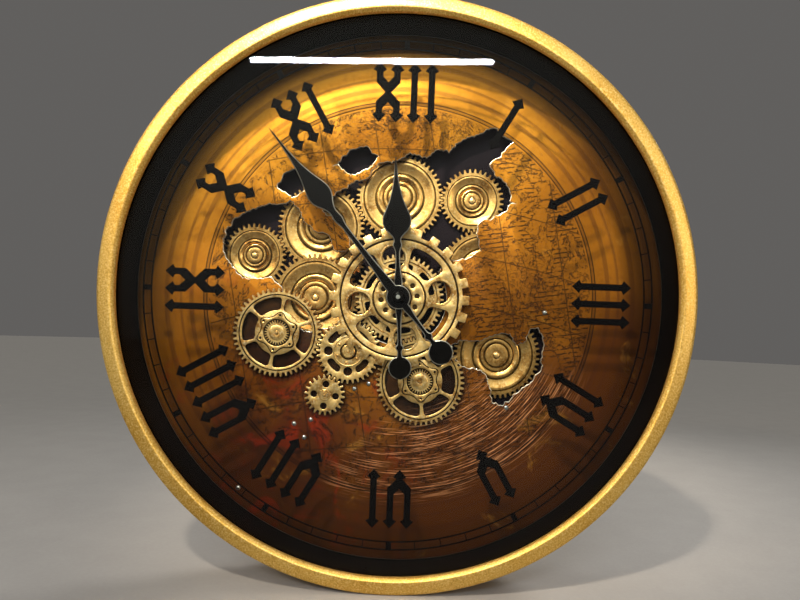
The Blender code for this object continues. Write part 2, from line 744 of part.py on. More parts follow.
def hand(name, length, widest, widest_at, tail, tail_r, hub_r, bore_r, front, finish):
    """A spade hand with a fine point, a waisted neck, a round hub and a round counterweight."""
    side = [
        (0.0, length),
        (widest * 0.10, length - (length - widest_at) * 0.45),
        (widest * 0.32, widest_at + (length - widest_at) * 0.26),
        (widest * 0.5, widest_at),
        (widest * 0.42, widest_at - widest * 0.28),
        (widest * 0.17, widest_at - widest * 0.55),
        (widest * 0.15, widest_at - widest * 0.9),
        (widest * 0.22, widest_at - widest * 1.3),
        (widest * 0.12, hub_r * 1.9),
    ]
    hub = [polar(hub_r, 66 - 22 * i) for i in range(7)]
    neck = [(1.5, -tail + tail_r * 2.4), (2.6, -tail + tail_r * 1.9), (1.7, -tail + tail_r * 1.3)]
    disc = [polar(tail_r, 68 - 22.5 * i) for i in range(7)]
    half = side + hub + neck + [(x, z - tail) for x, z in disc] + [(0.0, -tail - tail_r)]
    return sheet(name, blade_outline(half), [circle(bore_r, 12)], front, front + HAND_THICK, finish)


def make_hands(black, brass):
    minute = hand("minute_hand", MINUTE_HAND_LENGTH, MINUTE_BLADE_W, MINUTE_BLADE_AT, MINUTE_TAIL, MINUTE_TAIL_R,
                  MINUTE_HUB_R, ARBOR_R + RUNNING, MINUTE_HAND_FRONT, black)
    hour = hand("hour_hand", HOUR_HAND_LENGTH, HOUR_BLADE_W, HOUR_BLADE_AT, HOUR_TAIL, HOUR_TAIL_R,
                HOUR_HUB_R, HOUR_TUBE_R + RUNNING, HOUR_HAND_FRONT, black)
    turn_object(minute, 6.0 * (HANDS_SHOW_MINUTES % 60))
    turn_object(hour, 0.5 * HANDS_SHOW_MINUTES)
    turned("hour_tube", tube_profile(HOUR_TUBE_BORE_R, HOUR_TUBE_R, HOUR_TUBE_TIP, MOVEMENT_FRONT + 3.5), 12, brass)
    turned("minute_arbor", rod_profile(ARBOR_R, ARBOR_TIP, MOVEMENT_FRONT + 5.0), 12, brass, closed=False)
    turned("hand_cap", [
        (0.0, ARBOR_TIP - 2.2), (2.6, ARBOR_TIP - 1.6), (4.6, ARBOR_TIP + 0.2), (5.2, MINUTE_HAND_FRONT - GAP),
        (ARBOR_R + GAP, MINUTE_HAND_FRONT - GAP), (ARBOR_R + GAP, ARBOR_TIP - GAP), (0.0, ARBOR_TIP - GAP),
    ], 12, black, closed=False)


# Movement, motor and batteries

def make_movement(black, steel, brass):
    front = MOVEMENT_FRONT
    back = front + MOVEMENT_THICK
    body = sheet("quartz_movement", rectangle(MOVEMENT_SIDE, MOVEMENT_SIDE, corner=4.0), [], front, back, black)
    join(body, turned_mesh(rod_profile(STEM_R, STEM_TIP, front + 1.0), 12, closed=False))
    cut(body, turned_mesh(rod_profile(STEM_BORE_R, STEM_TIP - 1.0, front + 6.0), 12, closed=False))
    bay = (0.0, MOVEMENT_BATTERY_AT)
    bay_size = (AA_LENGTH + 2 * BATTERY_PLAY, 2 * (AA_R + BATTERY_PLAY))
    battery_at = back - AA_R - BATTERY_PLAY
    cut(body, box_mesh(bay, bay_size, battery_at - AA_R - GAP, back + 1.0))
    cut(body, turned_mesh(rod_profile(SHAFT_R + GAP, back - 5.0, back + 1.0), 8, (0.0, -KNOB_DROP), closed=False))
    knob_front = back + GAP
    turned("setting_knob", [
        (0.0, back - 4.5), (SHAFT_R, back - 4.5), (SHAFT_R, knob_front), (KNOB_R, knob_front),
        (KNOB_R, knob_front + KNOB_THICK - 0.6), (KNOB_R - 1.0, knob_front + KNOB_THICK),
        (0.0, knob_front + KNOB_THICK),
    ], 12, black, closed=False, at=place(0.0, -KNOB_DROP))
    sheet("movement_nut", circle(8.0, 6), [circle(STEM_R + GAP, 12)], GEAR_PLATE_FRONT - 2.8,
          GEAR_PLATE_FRONT - GAP, brass)
    sheet("centre_nut", circle(7.0, 6), [circle(STEM_R + GAP, 12)], STEM_TIP + 0.4,
          CENTRE_WHEEL_FRONT - CENTRE_BOSS_RISE - GAP, brass)
    battery("movement_battery", bay, battery_at, steel)


def battery(name, centre, depth, finish):
    body = add_object(name, rod_along_x(-AA_LENGTH / 2, AA_LENGTH / 2 - 1.5, centre[1], depth, AA_R, 12), finish)
    nipple = rod_along_x(AA_LENGTH / 2 - 2.5, AA_LENGTH / 2, centre[1], depth, 2.6, 8)
    join(body, nipple)
    body.location.x += centre[0] * MM


def make_motor(train, black, steel):
    front = MOVEMENT_FRONT
    x, z = train["motor_pinion"].centre
    centre = (x - MOTOR_SIDE / 2 + 8.0, z + 4.0)
    body = sheet("gear_motor", rectangle(MOTOR_SIDE, MOTOR_SIDE, centre, 3.0), [], front, front + MOTOR_THICK, black)
    cut(body, turned_mesh(rod_profile(SHAFT_R + RUNNING, front - 1.0, front + 5.0), 8, (x, z), closed=False))
    width, tall, deep = BATTERY_BOX
    case = sheet("battery_box", rectangle(width, tall, BATTERY_BOX_AT), [], front, front + deep, black)
    pocket = (AA_LENGTH + 2 * BATTERY_PLAY, 4 * AA_R + 3 * BATTERY_PLAY)
    middle = (BATTERY_BOX_AT[0] - (width - pocket[0]) / 2 + BATTERY_BOX_WALL, BATTERY_BOX_AT[1])
    floor = front + BATTERY_BOX_FLOOR
    cut(case, box_mesh(middle, pocket, floor, front + deep + 1.0))
    for i, side in enumerate((-1, 1), start=1):
        spot = (middle[0], middle[1] + side * (AA_R + BATTERY_PLAY / 2))
        battery(f"motor_battery_{i}", spot, floor + GAP + AA_R, steel)
    slot_x = BATTERY_BOX_AT[0] + width / 2 - SWITCH_INSET
    slot = (slot_x, BATTERY_BOX_AT[1])
    slot_size = (SWITCH[0] + 2 * GAP + SWITCH_TRAVEL, SWITCH[1] + 2 * GAP)
    slot_floor = front + deep - 3.0
    cut(case, box_mesh(slot, slot_size, slot_floor, front + deep + 1.0))
    knob_at = (slot_x - SWITCH_TRAVEL / 2, BATTERY_BOX_AT[1])
    tongue = box_mesh((0.0, 0.0), SWITCH, slot_floor + GAP, front + deep + 1.2)
    add_object("motor_switch", tongue, steel, place(*knob_at))


def main():
    for old in list(bpy.data.objects):
        bpy.data.objects.remove(old, do_unlink=True)
    gold = material("satin_gold", (0.72, 0.46, 0.12), 0.35, 1.0)
    antique = material("antique_gold", (0.50, 0.37, 0.13), 0.38, 1.0)
    black = material("gloss_black", (0.012, 0.011, 0.013), 0.18)
    matt = material("matt_black", (0.015, 0.014, 0.015), 0.6)
    bronze = material("printed_bronze", (0.50, 0.24, 0.06), 0.4, 0.7)
    backing = material("dark_backing", (0.025, 0.018, 0.026), 0.6)
    moulded = material("moulded_back", (0.02, 0.02, 0.021), 0.5)
    enamel = material("hand_black", (0.012, 0.011, 0.013), 0.3)
    glass = material("clear_glass", (0.9, 0.95, 0.95), 0.03, 0.0, 0.15)
    steel = material("bright_steel", (0.6, 0.6, 0.62), 0.3, 1.0)
    train = lay_out_train()
    make_case(gold, black, glass)
    make_numerals(matt)
    make_minute_track(matt)
    make_dial_plate(train, bronze)
    make_gear_plate(train, backing)
    make_back_cover(moulded)
    make_battery_door(moulded)
    make_screws(steel)
    make_train(train, antique)
    make_hands(enamel, antique)
    make_movement(moulded, steel, antique)
    make_motor(train, moulded, steel)
    for name, wheel in train.items():
        x, z = wheel.centre
        print(f"{name} x {x:.3f} z {z - NAIL_ABOVE_AXIS:.3f} ratio {wheel.ratio:.6f}")


main()
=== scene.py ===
"""Looks of a round wall clock: open gears behind glass, in a gold drum.

Sizes are in millimetres and angles in degrees. A place on the clock's face is given as x and height from
its axis, and a depth is measured from the front of the rim towards the wall.
"""

import json
import math
from functools import partial

import bmesh
import bpy
from mathutils import Matrix, Vector, noise


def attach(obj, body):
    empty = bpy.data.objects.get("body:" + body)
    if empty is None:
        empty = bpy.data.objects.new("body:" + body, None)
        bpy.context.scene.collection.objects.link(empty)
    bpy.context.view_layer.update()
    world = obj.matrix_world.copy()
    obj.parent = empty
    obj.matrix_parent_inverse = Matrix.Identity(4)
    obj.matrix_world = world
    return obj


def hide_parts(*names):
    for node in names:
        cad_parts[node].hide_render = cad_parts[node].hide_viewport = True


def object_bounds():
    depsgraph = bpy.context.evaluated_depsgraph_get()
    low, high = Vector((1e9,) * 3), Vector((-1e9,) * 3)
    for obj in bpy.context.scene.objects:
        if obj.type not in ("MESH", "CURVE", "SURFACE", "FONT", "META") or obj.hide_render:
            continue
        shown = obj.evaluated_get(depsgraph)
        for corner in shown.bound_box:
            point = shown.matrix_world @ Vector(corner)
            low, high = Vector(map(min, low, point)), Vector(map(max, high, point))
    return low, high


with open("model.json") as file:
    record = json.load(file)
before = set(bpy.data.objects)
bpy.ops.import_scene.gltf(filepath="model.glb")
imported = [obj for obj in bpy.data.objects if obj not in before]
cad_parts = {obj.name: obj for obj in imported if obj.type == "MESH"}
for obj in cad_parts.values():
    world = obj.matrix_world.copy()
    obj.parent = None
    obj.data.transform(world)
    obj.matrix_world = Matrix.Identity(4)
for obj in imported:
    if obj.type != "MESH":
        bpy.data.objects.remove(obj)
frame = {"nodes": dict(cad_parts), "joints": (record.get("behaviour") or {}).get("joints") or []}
cad_low, cad_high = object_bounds()

MM = 0.001
DEPTH = 80.0
JOINTS = {joint["name"]: joint for joint in frame["joints"]}
AXIS = Vector(JOINTS["centre_gears_turn"]["pos_m"])

# Steps round a circle
CASE_STEPS = 256
CENTRE_STEPS = 128
WHEEL_STEPS = 96
BORE_STEPS = 24

# Layers, front to back, as in the solids
GLASS_FRONT = 6.0
GLASS_BACK = 9.0
PRINT_FRONT = 9.3
PRINT_BACK = 10.5
MINUTE_FRONT = 17.5
HOUR_FRONT = 21.0
CENTRE_FRONT = 32.5
WHEEL_FRONT = 37.5
WHEEL_THICK = 2.5
WHEEL_BACK = WHEEL_FRONT + WHEEL_THICK
DIAL_FRONT = 42.0
DIAL_BACK = 43.5
INNER_GEAR_FRONT = 45.0
REAR_GEAR_FRONT = 49.5

# The gear train: teeth, and the gear and bearing that each one meshes from
MODULE = 1.4
BORE_R = 2.25
CENTRE_BORE_R = 4.55
TOOTH_EDGE = 0.22  # width of the bevel on the small teeth
STEEP = 0.2  # a window's wall faces forwards less than this, and its bevel more
TRAIN = {
    "centre_gears": (50, None, 0.0),
    "inner_left_gear": (50, "centre_gears", 181.5),
    "motor_pinion": (10, "inner_left_gear", 42.4),
    "upper_left_gear": (50, "motor_pinion", 133.5),
    "far_left_gear": (36, "upper_left_gear", 204.8),
    "top_gear": (50, "upper_left_gear", 23.0),
    "upper_right_gear": (36, "top_gear", -0.5),
    "right_idler_gear": (50, "upper_right_gear", -78.7),
    "lower_right_gear": (50, "right_idler_gear", -78.7),
    "perforated_wheel": (36, "centre_gears", 228.3),
    "left_spoked_wheel": (50, "perforated_wheel", 167.35),
    "small_wheel": (22, "perforated_wheel", 243.6),
    "bottom_spoked_wheel": (50, "centre_gears", -73.9),
}
REAR_GEARS = ("inner_left_gear", "upper_left_gear", "far_left_gear", "top_gear", "upper_right_gear",
              "right_idler_gear", "lower_right_gear")
FRONT_WHEELS = ("left_spoked_wheel", "bottom_spoked_wheel", "perforated_wheel", "small_wheel")


def y_of(depth):
    return (depth - DEPTH) * MM


def face_point(x, height, depth):
    """A point in the row frame, from a place on the clock's face."""
    return Vector((x * MM, y_of(depth), height * MM + AXIS.z))


def spot_of(gear):
    """Where a gear's joint stands on the face."""
    place = (Vector(JOINTS[f"{gear}_turn"]["pos_m"]) - AXIS) / MM
    return (place.x, place.z)


def phase_of(gear):
    """The bearing of one tooth, so that the train meshes at rest."""
    teeth, driver, bearing = TRAIN[gear]
    if driver is None:
        return 0.0
    share = TRAIN[driver][0] / teeth
    return bearing + 180.0 - (phase_of(driver) - bearing) * share - 180.0 / teeth


def rear_front(gear):
    """The front of a gear behind the dial. The inner left one stands nearer than the others."""
    return INNER_GEAR_FRONT if gear == "inner_left_gear" else REAR_GEAR_FRONT


def polar(radius, degrees, centre=(0.0, 0.0)):
    angle = math.radians(degrees)
    return (centre[0] + radius * math.cos(angle), centre[1] + radius * math.sin(angle))


def circle(radius, count, centre=(0.0, 0.0)):
    return [polar(radius, 360.0 * i / count, centre) for i in range(count)]


def ring_slot(inner, outer, start, sweep, steps, corner=0.0):
    """A window between two radii over part of a turn, with rounded corners."""
    rising = [math.radians(a) for a in (0, 30, 60, 90)] if corner else [math.radians(90)]

    def bend(radius, inward, edge, along, order):
        return [polar(radius + inward * corner * (1 - math.sin(a)),
                      edge + along * math.degrees(corner * (1 - math.cos(a)) / radius)) for a in order]

    between = [sweep * i / steps for i in range(1, steps)]
    points = bend(outer, -1, start, 1, rising)
    points += [polar(outer, start + turn) for turn in between if corner < math.radians(min(turn, sweep - turn)) * outer]
    points += bend(outer, -1, start + sweep, -1, rising[::-1]) + bend(inner, 1, start + sweep, -1, rising)
    points += [polar(inner, start + sweep - turn) for turn in between
               if corner < math.radians(min(turn, sweep - turn)) * inner]
    return points + bend(inner, 1, start, 1, rising[::-1])


# Materials

def linear(code):
    """A colour from its sRGB hex code."""
    parts = [int(code[i:i + 2], 16) / 255 for i in (1, 3, 5)]
    return (*[c / 12.92 if c <= 0.04045 else ((c + 0.055) / 1.055) ** 2.4 for c in parts], 1.0)


def add_node(tree, kind, inputs=(), out=0, **settings):
    """Adds a node, as in "Math MULTIPLY", and gives an output. Its inputs are values or other nodes' outputs."""
    kind, *operation = kind.split()
    made = tree.nodes.new("ShaderNode" + kind)
    if operation:
        made.operation = operation[0]
    for name, value in settings.items():
        setattr(made, name, value)
    for name, value in inputs.items() if isinstance(inputs, dict) else enumerate(inputs):
        if isinstance(value, bpy.types.NodeSocket):
            tree.links.new(value, made.inputs[name])
        else:
            made.inputs[name].default_value = value
    return made.outputs[out] if made.outputs else made


def new_finish(name):
    """An empty material, the function that adds its nodes, and millimetres from the clock's axis."""
    made = bpy.data.materials.new(name)
    made.use_nodes = True
    made.node_tree.nodes.clear()
    add = partial(add_node, made.node_tree)
    place = add("Mapping", {"Vector": add("TexCoord", out="Object"), "Location": (0.0, 0.0, -AXIS.z / MM),
                            "Scale": (1 / MM, 1 / MM, 1 / MM)})
    return made, add, place


def satin_gold_lacquer():
    # Spun sheet steel sprayed with gold lacquer: an even satin with a spray grain and faint turning rings.
    # The grain is really 0.2 mm, and is drawn at 1.3 mm so that it shows
    made, add, place = new_finish("satin_gold_lacquer")
    radius = add("VectorMath LENGTH", [add("VectorMath MULTIPLY", [place, (1.0, 0.0, 1.0)])], "Value")
    cloud = add("TexNoise", {"Vector": place, "Scale": 1 / 60, "Detail": 3.0})
    speck = add("TexNoise", {"Vector": place, "Scale": 1 / 1.3, "Detail": 1.0})
    rings = add("TexNoise", {"W": radius, "Scale": 1 / 1.6, "Detail": 1.0}, noise_dimensions="1D")
    colour = add("MixRGB", [add("MapRange", [cloud, 0.35, 0.65]), linear("#D2A448"), linear("#DEB65E")])
    colour = add("MixRGB", [add("MapRange", [speck, 0.5, 0.7, 0.0, 0.6]), colour, linear("#F2D890")])
    colour = add("MixRGB", [add("MapRange", [speck, 0.45, 0.3, 0.0, 0.4]), colour, linear("#9C7026")])
    height = add("Math MULTIPLY_ADD", [speck, 1.5, rings])
    shown = add("BsdfPrincipled", {
        "Base Color": colour, "Metallic": 0.85,
        "Roughness": add("MapRange", [speck, 0.2, 0.8, 0.38, 0.5]),
        "Normal": add("Bump", {"Height": height, "Distance": 0.03 * MM, "Strength": 0.5})})
    add("OutputMaterial", {"Surface": shown})
    return made


def antique_gold_plate(name, base, dark, light, bright, dull):
    # Stamped steel plated in antique gold and rubbed back: warm metal with a brown patina in patches of
    # about 9 mm, and fine rubbing marks, really 0.3 mm and drawn at 1.8 mm so that they show
    made, add, place = new_finish(name)
    patch = add("TexNoise", {"Vector": place, "Scale": 1 / 9, "Detail": 5.0, "Roughness": 0.6})
    fine = add("TexNoise", {"Vector": place, "Scale": 1 / 1.8, "Detail": 2.0})
    colour = add("MixRGB", [add("MapRange", [patch, 0.36, 0.56]), linear(dark), linear(base)])
    colour = add("MixRGB", [add("MapRange", [fine, 0.52, 0.72, 0.0, 0.5]), colour, linear(light)])
    shown = add("BsdfPrincipled", {
        "Base Color": colour, "Metallic": 1.0,
        "Roughness": add("MapRange", [patch, 0.3, 0.7, dull, bright]),
        "Normal": add("Bump", {"Height": fine, "Distance": 0.02 * MM, "Strength": 0.3})})
    add("OutputMaterial", {"Surface": shown})
    return made


def grained(name, base, second, rough, metallic, grain, lift, gloss=0.5):
    """A finish whose colour varies a little. Its grain's width and height are in millimetres."""
    made, add, place = new_finish(name)
    fine = add("TexNoise", {"Vector": place, "Scale": 1 / grain, "Detail": 3.0})
    broad = add("TexNoise", {"Vector": place, "Scale": 1 / 40, "Detail": 3.0})
    colour = add("MixRGB", [add("MapRange", [broad, 0.35, 0.65]), linear(base), linear(second)])
    shown = add("BsdfPrincipled", {
        "Base Color": colour, "Metallic": metallic, "Specular IOR Level": gloss,
        "Roughness": add("MapRange", [fine, 0.25, 0.75, rough * 0.85, rough * 1.15]),
        "Normal": add("Bump", {"Height": fine, "Distance": lift * MM, "Strength": 0.5})})
    add("OutputMaterial", {"Surface": shown})
    return made


def clear_float_glass():
    # Float glass 3 mm thick with a thin coat against glare: nearly all light goes through and about 0.8 % is
    # mirrored, more at a slant, with a faint smear of 45 mm patches
    made, add, place = new_finish("clear_float_glass")
    facing = add("LayerWeight", {"Blend": 0.5}, "Facing")
    slant = add("Math POWER", [facing, 5.0])
    share = add("Math MULTIPLY_ADD", [slant, 0.992, 0.008])
    smear = add("TexNoise", {"Vector": place, "Scale": 1 / 45, "Detail": 4.0})
    through = add("BsdfTransparent", {"Color": linear("#F8FBFA")})
    sheen = add("BsdfGlossy", {"Color": linear("#FFFFFF"),
                               "Roughness": add("MapRange", [smear, 0.4, 0.7, 0.0, 0.012])})
    add("OutputMaterial", {"Surface": add("MixShader", [share, through, sheen])})
    return made


def printed_copper_and_painted_light():
    # Aluminium sheet turned in a lathe, tinted copper and printed with ink: fine rings, really 0.4 mm apart
    # and drawn at 2 mm so that they show, and a print of coast lines, hill lines, sea hatching and a bent grid.
    # Painted light on top: highlights in streaks along the turning, shadows under the front wheels, the rim's
    # shadow round the edge, and partly the minute track's shadow in the outer bands
    made, add, place = new_finish("turned_copper_print_and_painted_light")
    smooth = {"interpolation_type": "SMOOTHSTEP"}
    x = add("SeparateXYZ", [place], "X")
    z = add("SeparateXYZ", [place], "Z")
    across_face = add("VectorMath MULTIPLY", [place, (1.0, 0.0, 1.0)])
    radius = add("VectorMath LENGTH", [across_face], "Value")
    angle = add("Math ARCTAN2", [z, x])
    broad = add("TexNoise", {"Vector": place, "Scale": 1 / 110, "Detail": 3.0, "Distortion": 0.6})
    cloud = add("TexNoise", {"Vector": place, "Scale": 1 / 34, "Detail": 6.0, "Roughness": 0.65, "Distortion": 0.8})
    fleck = add("TexNoise", {"Vector": place, "Scale": 1 / 3.0, "Detail": 2.0, "Roughness": 0.7})

    # Light copper at the upper left, dark brown at the lower right, red and pale patches. The first layer
    # lies lowest
    slope = add("Math MULTIPLY_ADD", [z, 1 / 500, add("Math MULTIPLY_ADD", [x, -1 / 1000, 0.5])])
    slope = add("Math MULTIPLY_ADD", [add("Math SUBTRACT", [broad, 0.5]), 0.7, slope])
    colour = add("MixRGB", [add("MapRange", [slope, 0.18, 0.66], **smooth), linear("#552A06"), linear("#9E600A")])
    layers = [(add("MapRange", [slope, 0.55, 0.95], **smooth), "#CC8820")]
    corner = add("VectorMath DISTANCE", [place, (-100.0, 0.0, -95.0)], "Value")
    corner = add("Math MULTIPLY", [add("MapRange", [corner, 115.0, 40.0, 0.0, 0.8], **smooth),
                                   add("MapRange", [cloud, 0.3, 0.6, 0.4, 1.0], **smooth)])
    low = add("MapRange", [slope, 0.75, 0.35, 0.0, 0.75], **smooth)
    low = add("Math MULTIPLY", [low, add("MapRange", [x, 40.0, -30.0], **smooth)])
    red = add("Math MULTIPLY", [add("MapRange", [cloud, 0.52, 0.68], **smooth), low])
    layers += [(corner, "#4A1404"), (red, "#8C2408"),
               (add("MapRange", [cloud, 0.42, 0.3, 0.0, 0.35], **smooth), "#C88C34"),
               (add("MapRange", [fleck, 0.45, 0.75, 0.0, 0.3], **smooth), "#542608")]

    # Ink lines: 1 on a line, 0 between
    shore = add("TexNoise", {"Vector": place, "Scale": 1 / 62, "Detail": 9.0, "Roughness": 0.72, "Distortion": 0.5})
    coast = add("MapRange", [add("Math PINGPONG", [shore, 0.045]), 0.005, 0.012, 1.0, 0.0], **smooth)
    folds = add("TexNoise", {"Vector": place, "Scale": 1 / 13, "Detail": 6.0, "Roughness": 0.7, "Distortion": 1.4})
    hills = add("MapRange", [add("Math PINGPONG", [folds, 0.06]), 0.009, 0.02, 0.7, 0.0], **smooth)
    region = add("TexNoise", {"Vector": place, "Scale": 1 / 75, "Detail": 2.0})
    hilly = add("Math MAXIMUM", [add("MapRange", [region, 0.5, 0.6], **smooth),
                                 add("MapRange", [z, 104.0, 122.0], **smooth)])
    hills = add("Math MULTIPLY", [hills, hilly])
    sea = add("Math ABSOLUTE", [add("Math SUBTRACT", [shore, 0.495])])
    sea = add("Math MULTIPLY", [add("MapRange", [sea, 0.045, 0.04]), add("MapRange", [x, 40.0, 60.0])])
    row = add("Math MULTIPLY_ADD", [folds, 3.0, add("Math MULTIPLY_ADD", [x, -0.16, z])])
    row = add("MapRange", [add("Math PINGPONG", [row, 1.9]), 0.35, 0.8, 0.95, 0.0], **smooth)
    dash = add("VectorMath MULTIPLY", [place, (1 / 6, 0.0, 1 / 2.6)])
    dash = add("TexNoise", {"Vector": dash, "Scale": 1.0, "Detail": 1.0})
    row = add("Math MULTIPLY", [row, add("MapRange", [dash, 0.42, 0.5], **smooth)])
    hills = add("Math MAXIMUM", [hills, add("Math MULTIPLY", [row, sea])])
    leaning = add("Math MULTIPLY_ADD", [z, 0.18, x])
    bowed = add("Math MULTIPLY_ADD", [add("Math MULTIPLY", [x, x]), 0.0011, z])
    grid = [add("MapRange", [add("Math PINGPONG", [run, gap]), 0.35, 0.7, 0.75, 0.0], **smooth)
            for run, gap in ((leaning, 23.0), (bowed, 20.5))]
    ink = add("Math MAXIMUM", [add("Math MAXIMUM", [coast, hills]), add("Math MAXIMUM", grid)])
    ink = add("Math MULTIPLY", [ink, add("MapRange", [radius, 157.0, 157.6, 1.0, 0.0])])
    # A double ring, and the strip between: radius, half width with and without its soft edge, and darkness
    for ring, half, faded, dark in ((159.0, 0.35, 0.6, 1.0), (161.6, 0.35, 0.6, 1.0), (160.3, 1.2, 1.5, 0.4)):
        off = add("Math ABSOLUTE", [add("Math SUBTRACT", [radius, ring])])
        ink = add("Math MAXIMUM", [ink, add("MapRange", [off, half, faded, dark, 0.0])])

    # Darker bands outside the double ring, partly print and partly painted shadow of the minute track, the ink, and a
    # painted shadow of the rim round the edge, darkest at the top
    print_and_shadow_band = add("TexNoise", {"W": radius, "Scale": 1 / 7, "Detail": 4.0}, noise_dimensions="1D")
    print_and_shadow_band = add("Math MULTIPLY", [add("MapRange", [print_and_shadow_band, 0.5, 0.62, 0.0, 0.45], **smooth),
                                 add("MapRange", [radius, 164.0, 168.0])])
    rim_shadow = add("Math MULTIPLY", [add("MapRange", [radius, 176.0, 208.0], **smooth),
                                add("MapRange", [z, -110.0, 60.0, 0.2, 0.75], **smooth)])
    layers += [(print_and_shadow_band, "#4A220E"), (add("Math MULTIPLY", [ink, 0.9]), "#1C0C06"), (rim_shadow, "#1E0E04")]

    # Painted shadow: dark patches under the front wheels, a little right of and below each wheel, so that their windows
    # look deep
    for gear, reach in zip(FRONT_WHEELS, (33.0, 33.0, 23.0, 12.0)):
        east, up = spot_of(gear)
        away = add("VectorMath DISTANCE", [across_face, (east + 1.0, 0.0, up - 2.0)], "Value")
        layers.append((add("MapRange", [away, reach, reach + 7.0, 0.88, 0.0], **smooth), "#120804"))

    # Painted highlights: bright streaks of 20 to 60 mm along the turning, only at the lower right
    swept = add("CombineXYZ", [add("Math MULTIPLY", [radius, 0.9]), add("Math MULTIPLY", [angle, 3.4])])
    streak = add("TexNoise", {"Vector": swept, "Scale": 1.0, "Detail": 3.0, "Roughness": 0.7}, noise_dimensions="2D")
    zone = add("Math MULTIPLY", [add("MapRange", [radius, 85.0, 110.0]), add("MapRange", [radius, 172.0, 158.0])])
    zone = add("Math MULTIPLY", [zone, add("MapRange", [add("Math SUBTRACT", [x, z]), 75.0, 125.0], **smooth)])
    zone = add("Math MULTIPLY", [zone, add("MapRange", [z, -45.0, -80.0], **smooth)])
    painted_glint = add("Math MULTIPLY", [add("MapRange", [slope, 0.56, 0.4], **smooth), zone])
    painted_glint = add("Math MULTIPLY", [painted_glint, add("MapRange", [streak, 0.55, 0.66], **smooth)])
    layers.append((add("Math MULTIPLY", [painted_glint, 0.85]), "#E09A68"))
    for share, code in layers:
        colour = add("MixRGB", [share, colour, linear(code)])
    turning = add("TexNoise", {"W": radius, "Scale": 1 / 2.0, "Detail": 1.0}, noise_dimensions="1D")
    height = add("Math MULTIPLY_ADD", [fleck, 0.25, turning])
    shown = add("BsdfPrincipled", {
        "Base Color": colour, "Metallic": 0.55, "Specular IOR Level": 0.15,
        "Roughness": add("Math MULTIPLY_ADD", [painted_glint, -0.08, add("MapRange", [cloud, 0.3, 0.7, 0.38, 0.5])]),
        "Normal": add("Bump", {"Height": height, "Distance": 0.05 * MM, "Strength": 0.5})})
    add("OutputMaterial", {"Surface": shown})
    return made


GOLD = satin_gold_lacquer()
GEAR_GOLD = antique_gold_plate("antique_gold_plate", "#F2C47A", "#956832", "#FFE9BC", 0.32, 0.45)
# The recess and valley finishes are dark: the antique patina of the hollows, together with painted shade on grooves,
# window walls, valleys and floors under holes
GEAR_SHADE = antique_gold_plate("antique_gold_recess", "#3A2812", "#1E1208", "#5E4624", 0.42, 0.6)
DISH_GOLD = antique_gold_plate("antique_gold_dished", "#D2A05A", "#8A5E2A", "#F0D090", 0.3, 0.4)
DISH_SHADE = antique_gold_plate("antique_gold_valley", "#5A4018", "#33220B", "#86662E", 0.34, 0.48)
COPPER = printed_copper_and_painted_light()
GLASS = clear_float_glass()
# Cut edges of the turned sheet: bare aluminium, pale and rough, with saw marks of 1.4 mm
CUT_EDGE = grained("sawn_aluminium_edge", "#CFC4B4", "#A79C8C", 0.34, 1.0, 1.4, 0.12)
# Acrylic-coated sheet: a soft gloss in black, nearly smooth, with slow waves of 30 mm
LINER_BLACK = grained("gloss_black_liner", "#030202", "#050303", 0.32, 0.0, 30.0, 0.01, 0.03)
# Screen ink on the back of the glass: flat and dead matt, with the screen's 0.5 mm mesh
MATT_BLACK = grained("matt_black_ink", "#040303", "#060404", 0.6, 0.0, 0.5, 0.03, 0.02)
# Stove enamel on aluminium: a soft gloss with waves of 20 mm. Its edges are bare metal cut with a diamond,
# whose marks are really 0.1 mm and are drawn at 1.8 mm so that they show
ENAMEL = grained("black_stove_enamel", "#040303", "#070504", 0.3, 0.0, 20.0, 0.01, 0.05)
BRIGHT_CUT = grained("diamond_cut_edge", "#C8C3BA", "#B4AFA6", 0.32, 1.0, 1.8, 0.02)
# Sprayed matt paint on aluminium: dark, slightly purple, with a spray grain of 1.2 mm
BACKING = grained("dark_matt_paint", "#120B11", "#190F15", 0.5, 0.0, 1.2, 0.05, 0.06)
# Moulded ABS with a spark-eroded grain, really 0.1 mm and drawn at 0.9 mm so that it shows
MOULDED = grained("moulded_black_abs", "#232327", "#2A2A2E", 0.48, 0.0, 0.9, 0.08)
# Zinc plate on drawn steel: bright, with drawing marks drawn coarser, at 0.8 mm, so that they show
STEEL = grained("zinc_plated_steel", "#B9B7B2", "#A2A09C", 0.28, 1.0, 0.8, 0.02)


# Mesh work

def flat(outline, holes, front, back):
    """A pierced sheet between two depths, as a closed body."""
    bm = bmesh.new()
    for ring in (outline, *holes):
        verts = [bm.verts.new((x * MM, y_of(front), z * MM)) for x, z in ring]
        for i, vert in enumerate(verts):
            bm.edges.new((verts[i - 1], vert))
    bmesh.ops.triangle_fill(bm, use_beauty=True, use_dissolve=False, edges=bm.edges)
    raised = bmesh.ops.extrude_face_region(bm, geom=list(bm.faces))
    moved = [item for item in raised["geom"] if isinstance(item, bmesh.types.BMVert)]
    bmesh.ops.translate(bm, verts=moved, vec=(0.0, (back - front) * MM, 0.0))
    bmesh.ops.recalc_face_normals(bm, faces=bm.faces)
    return bm


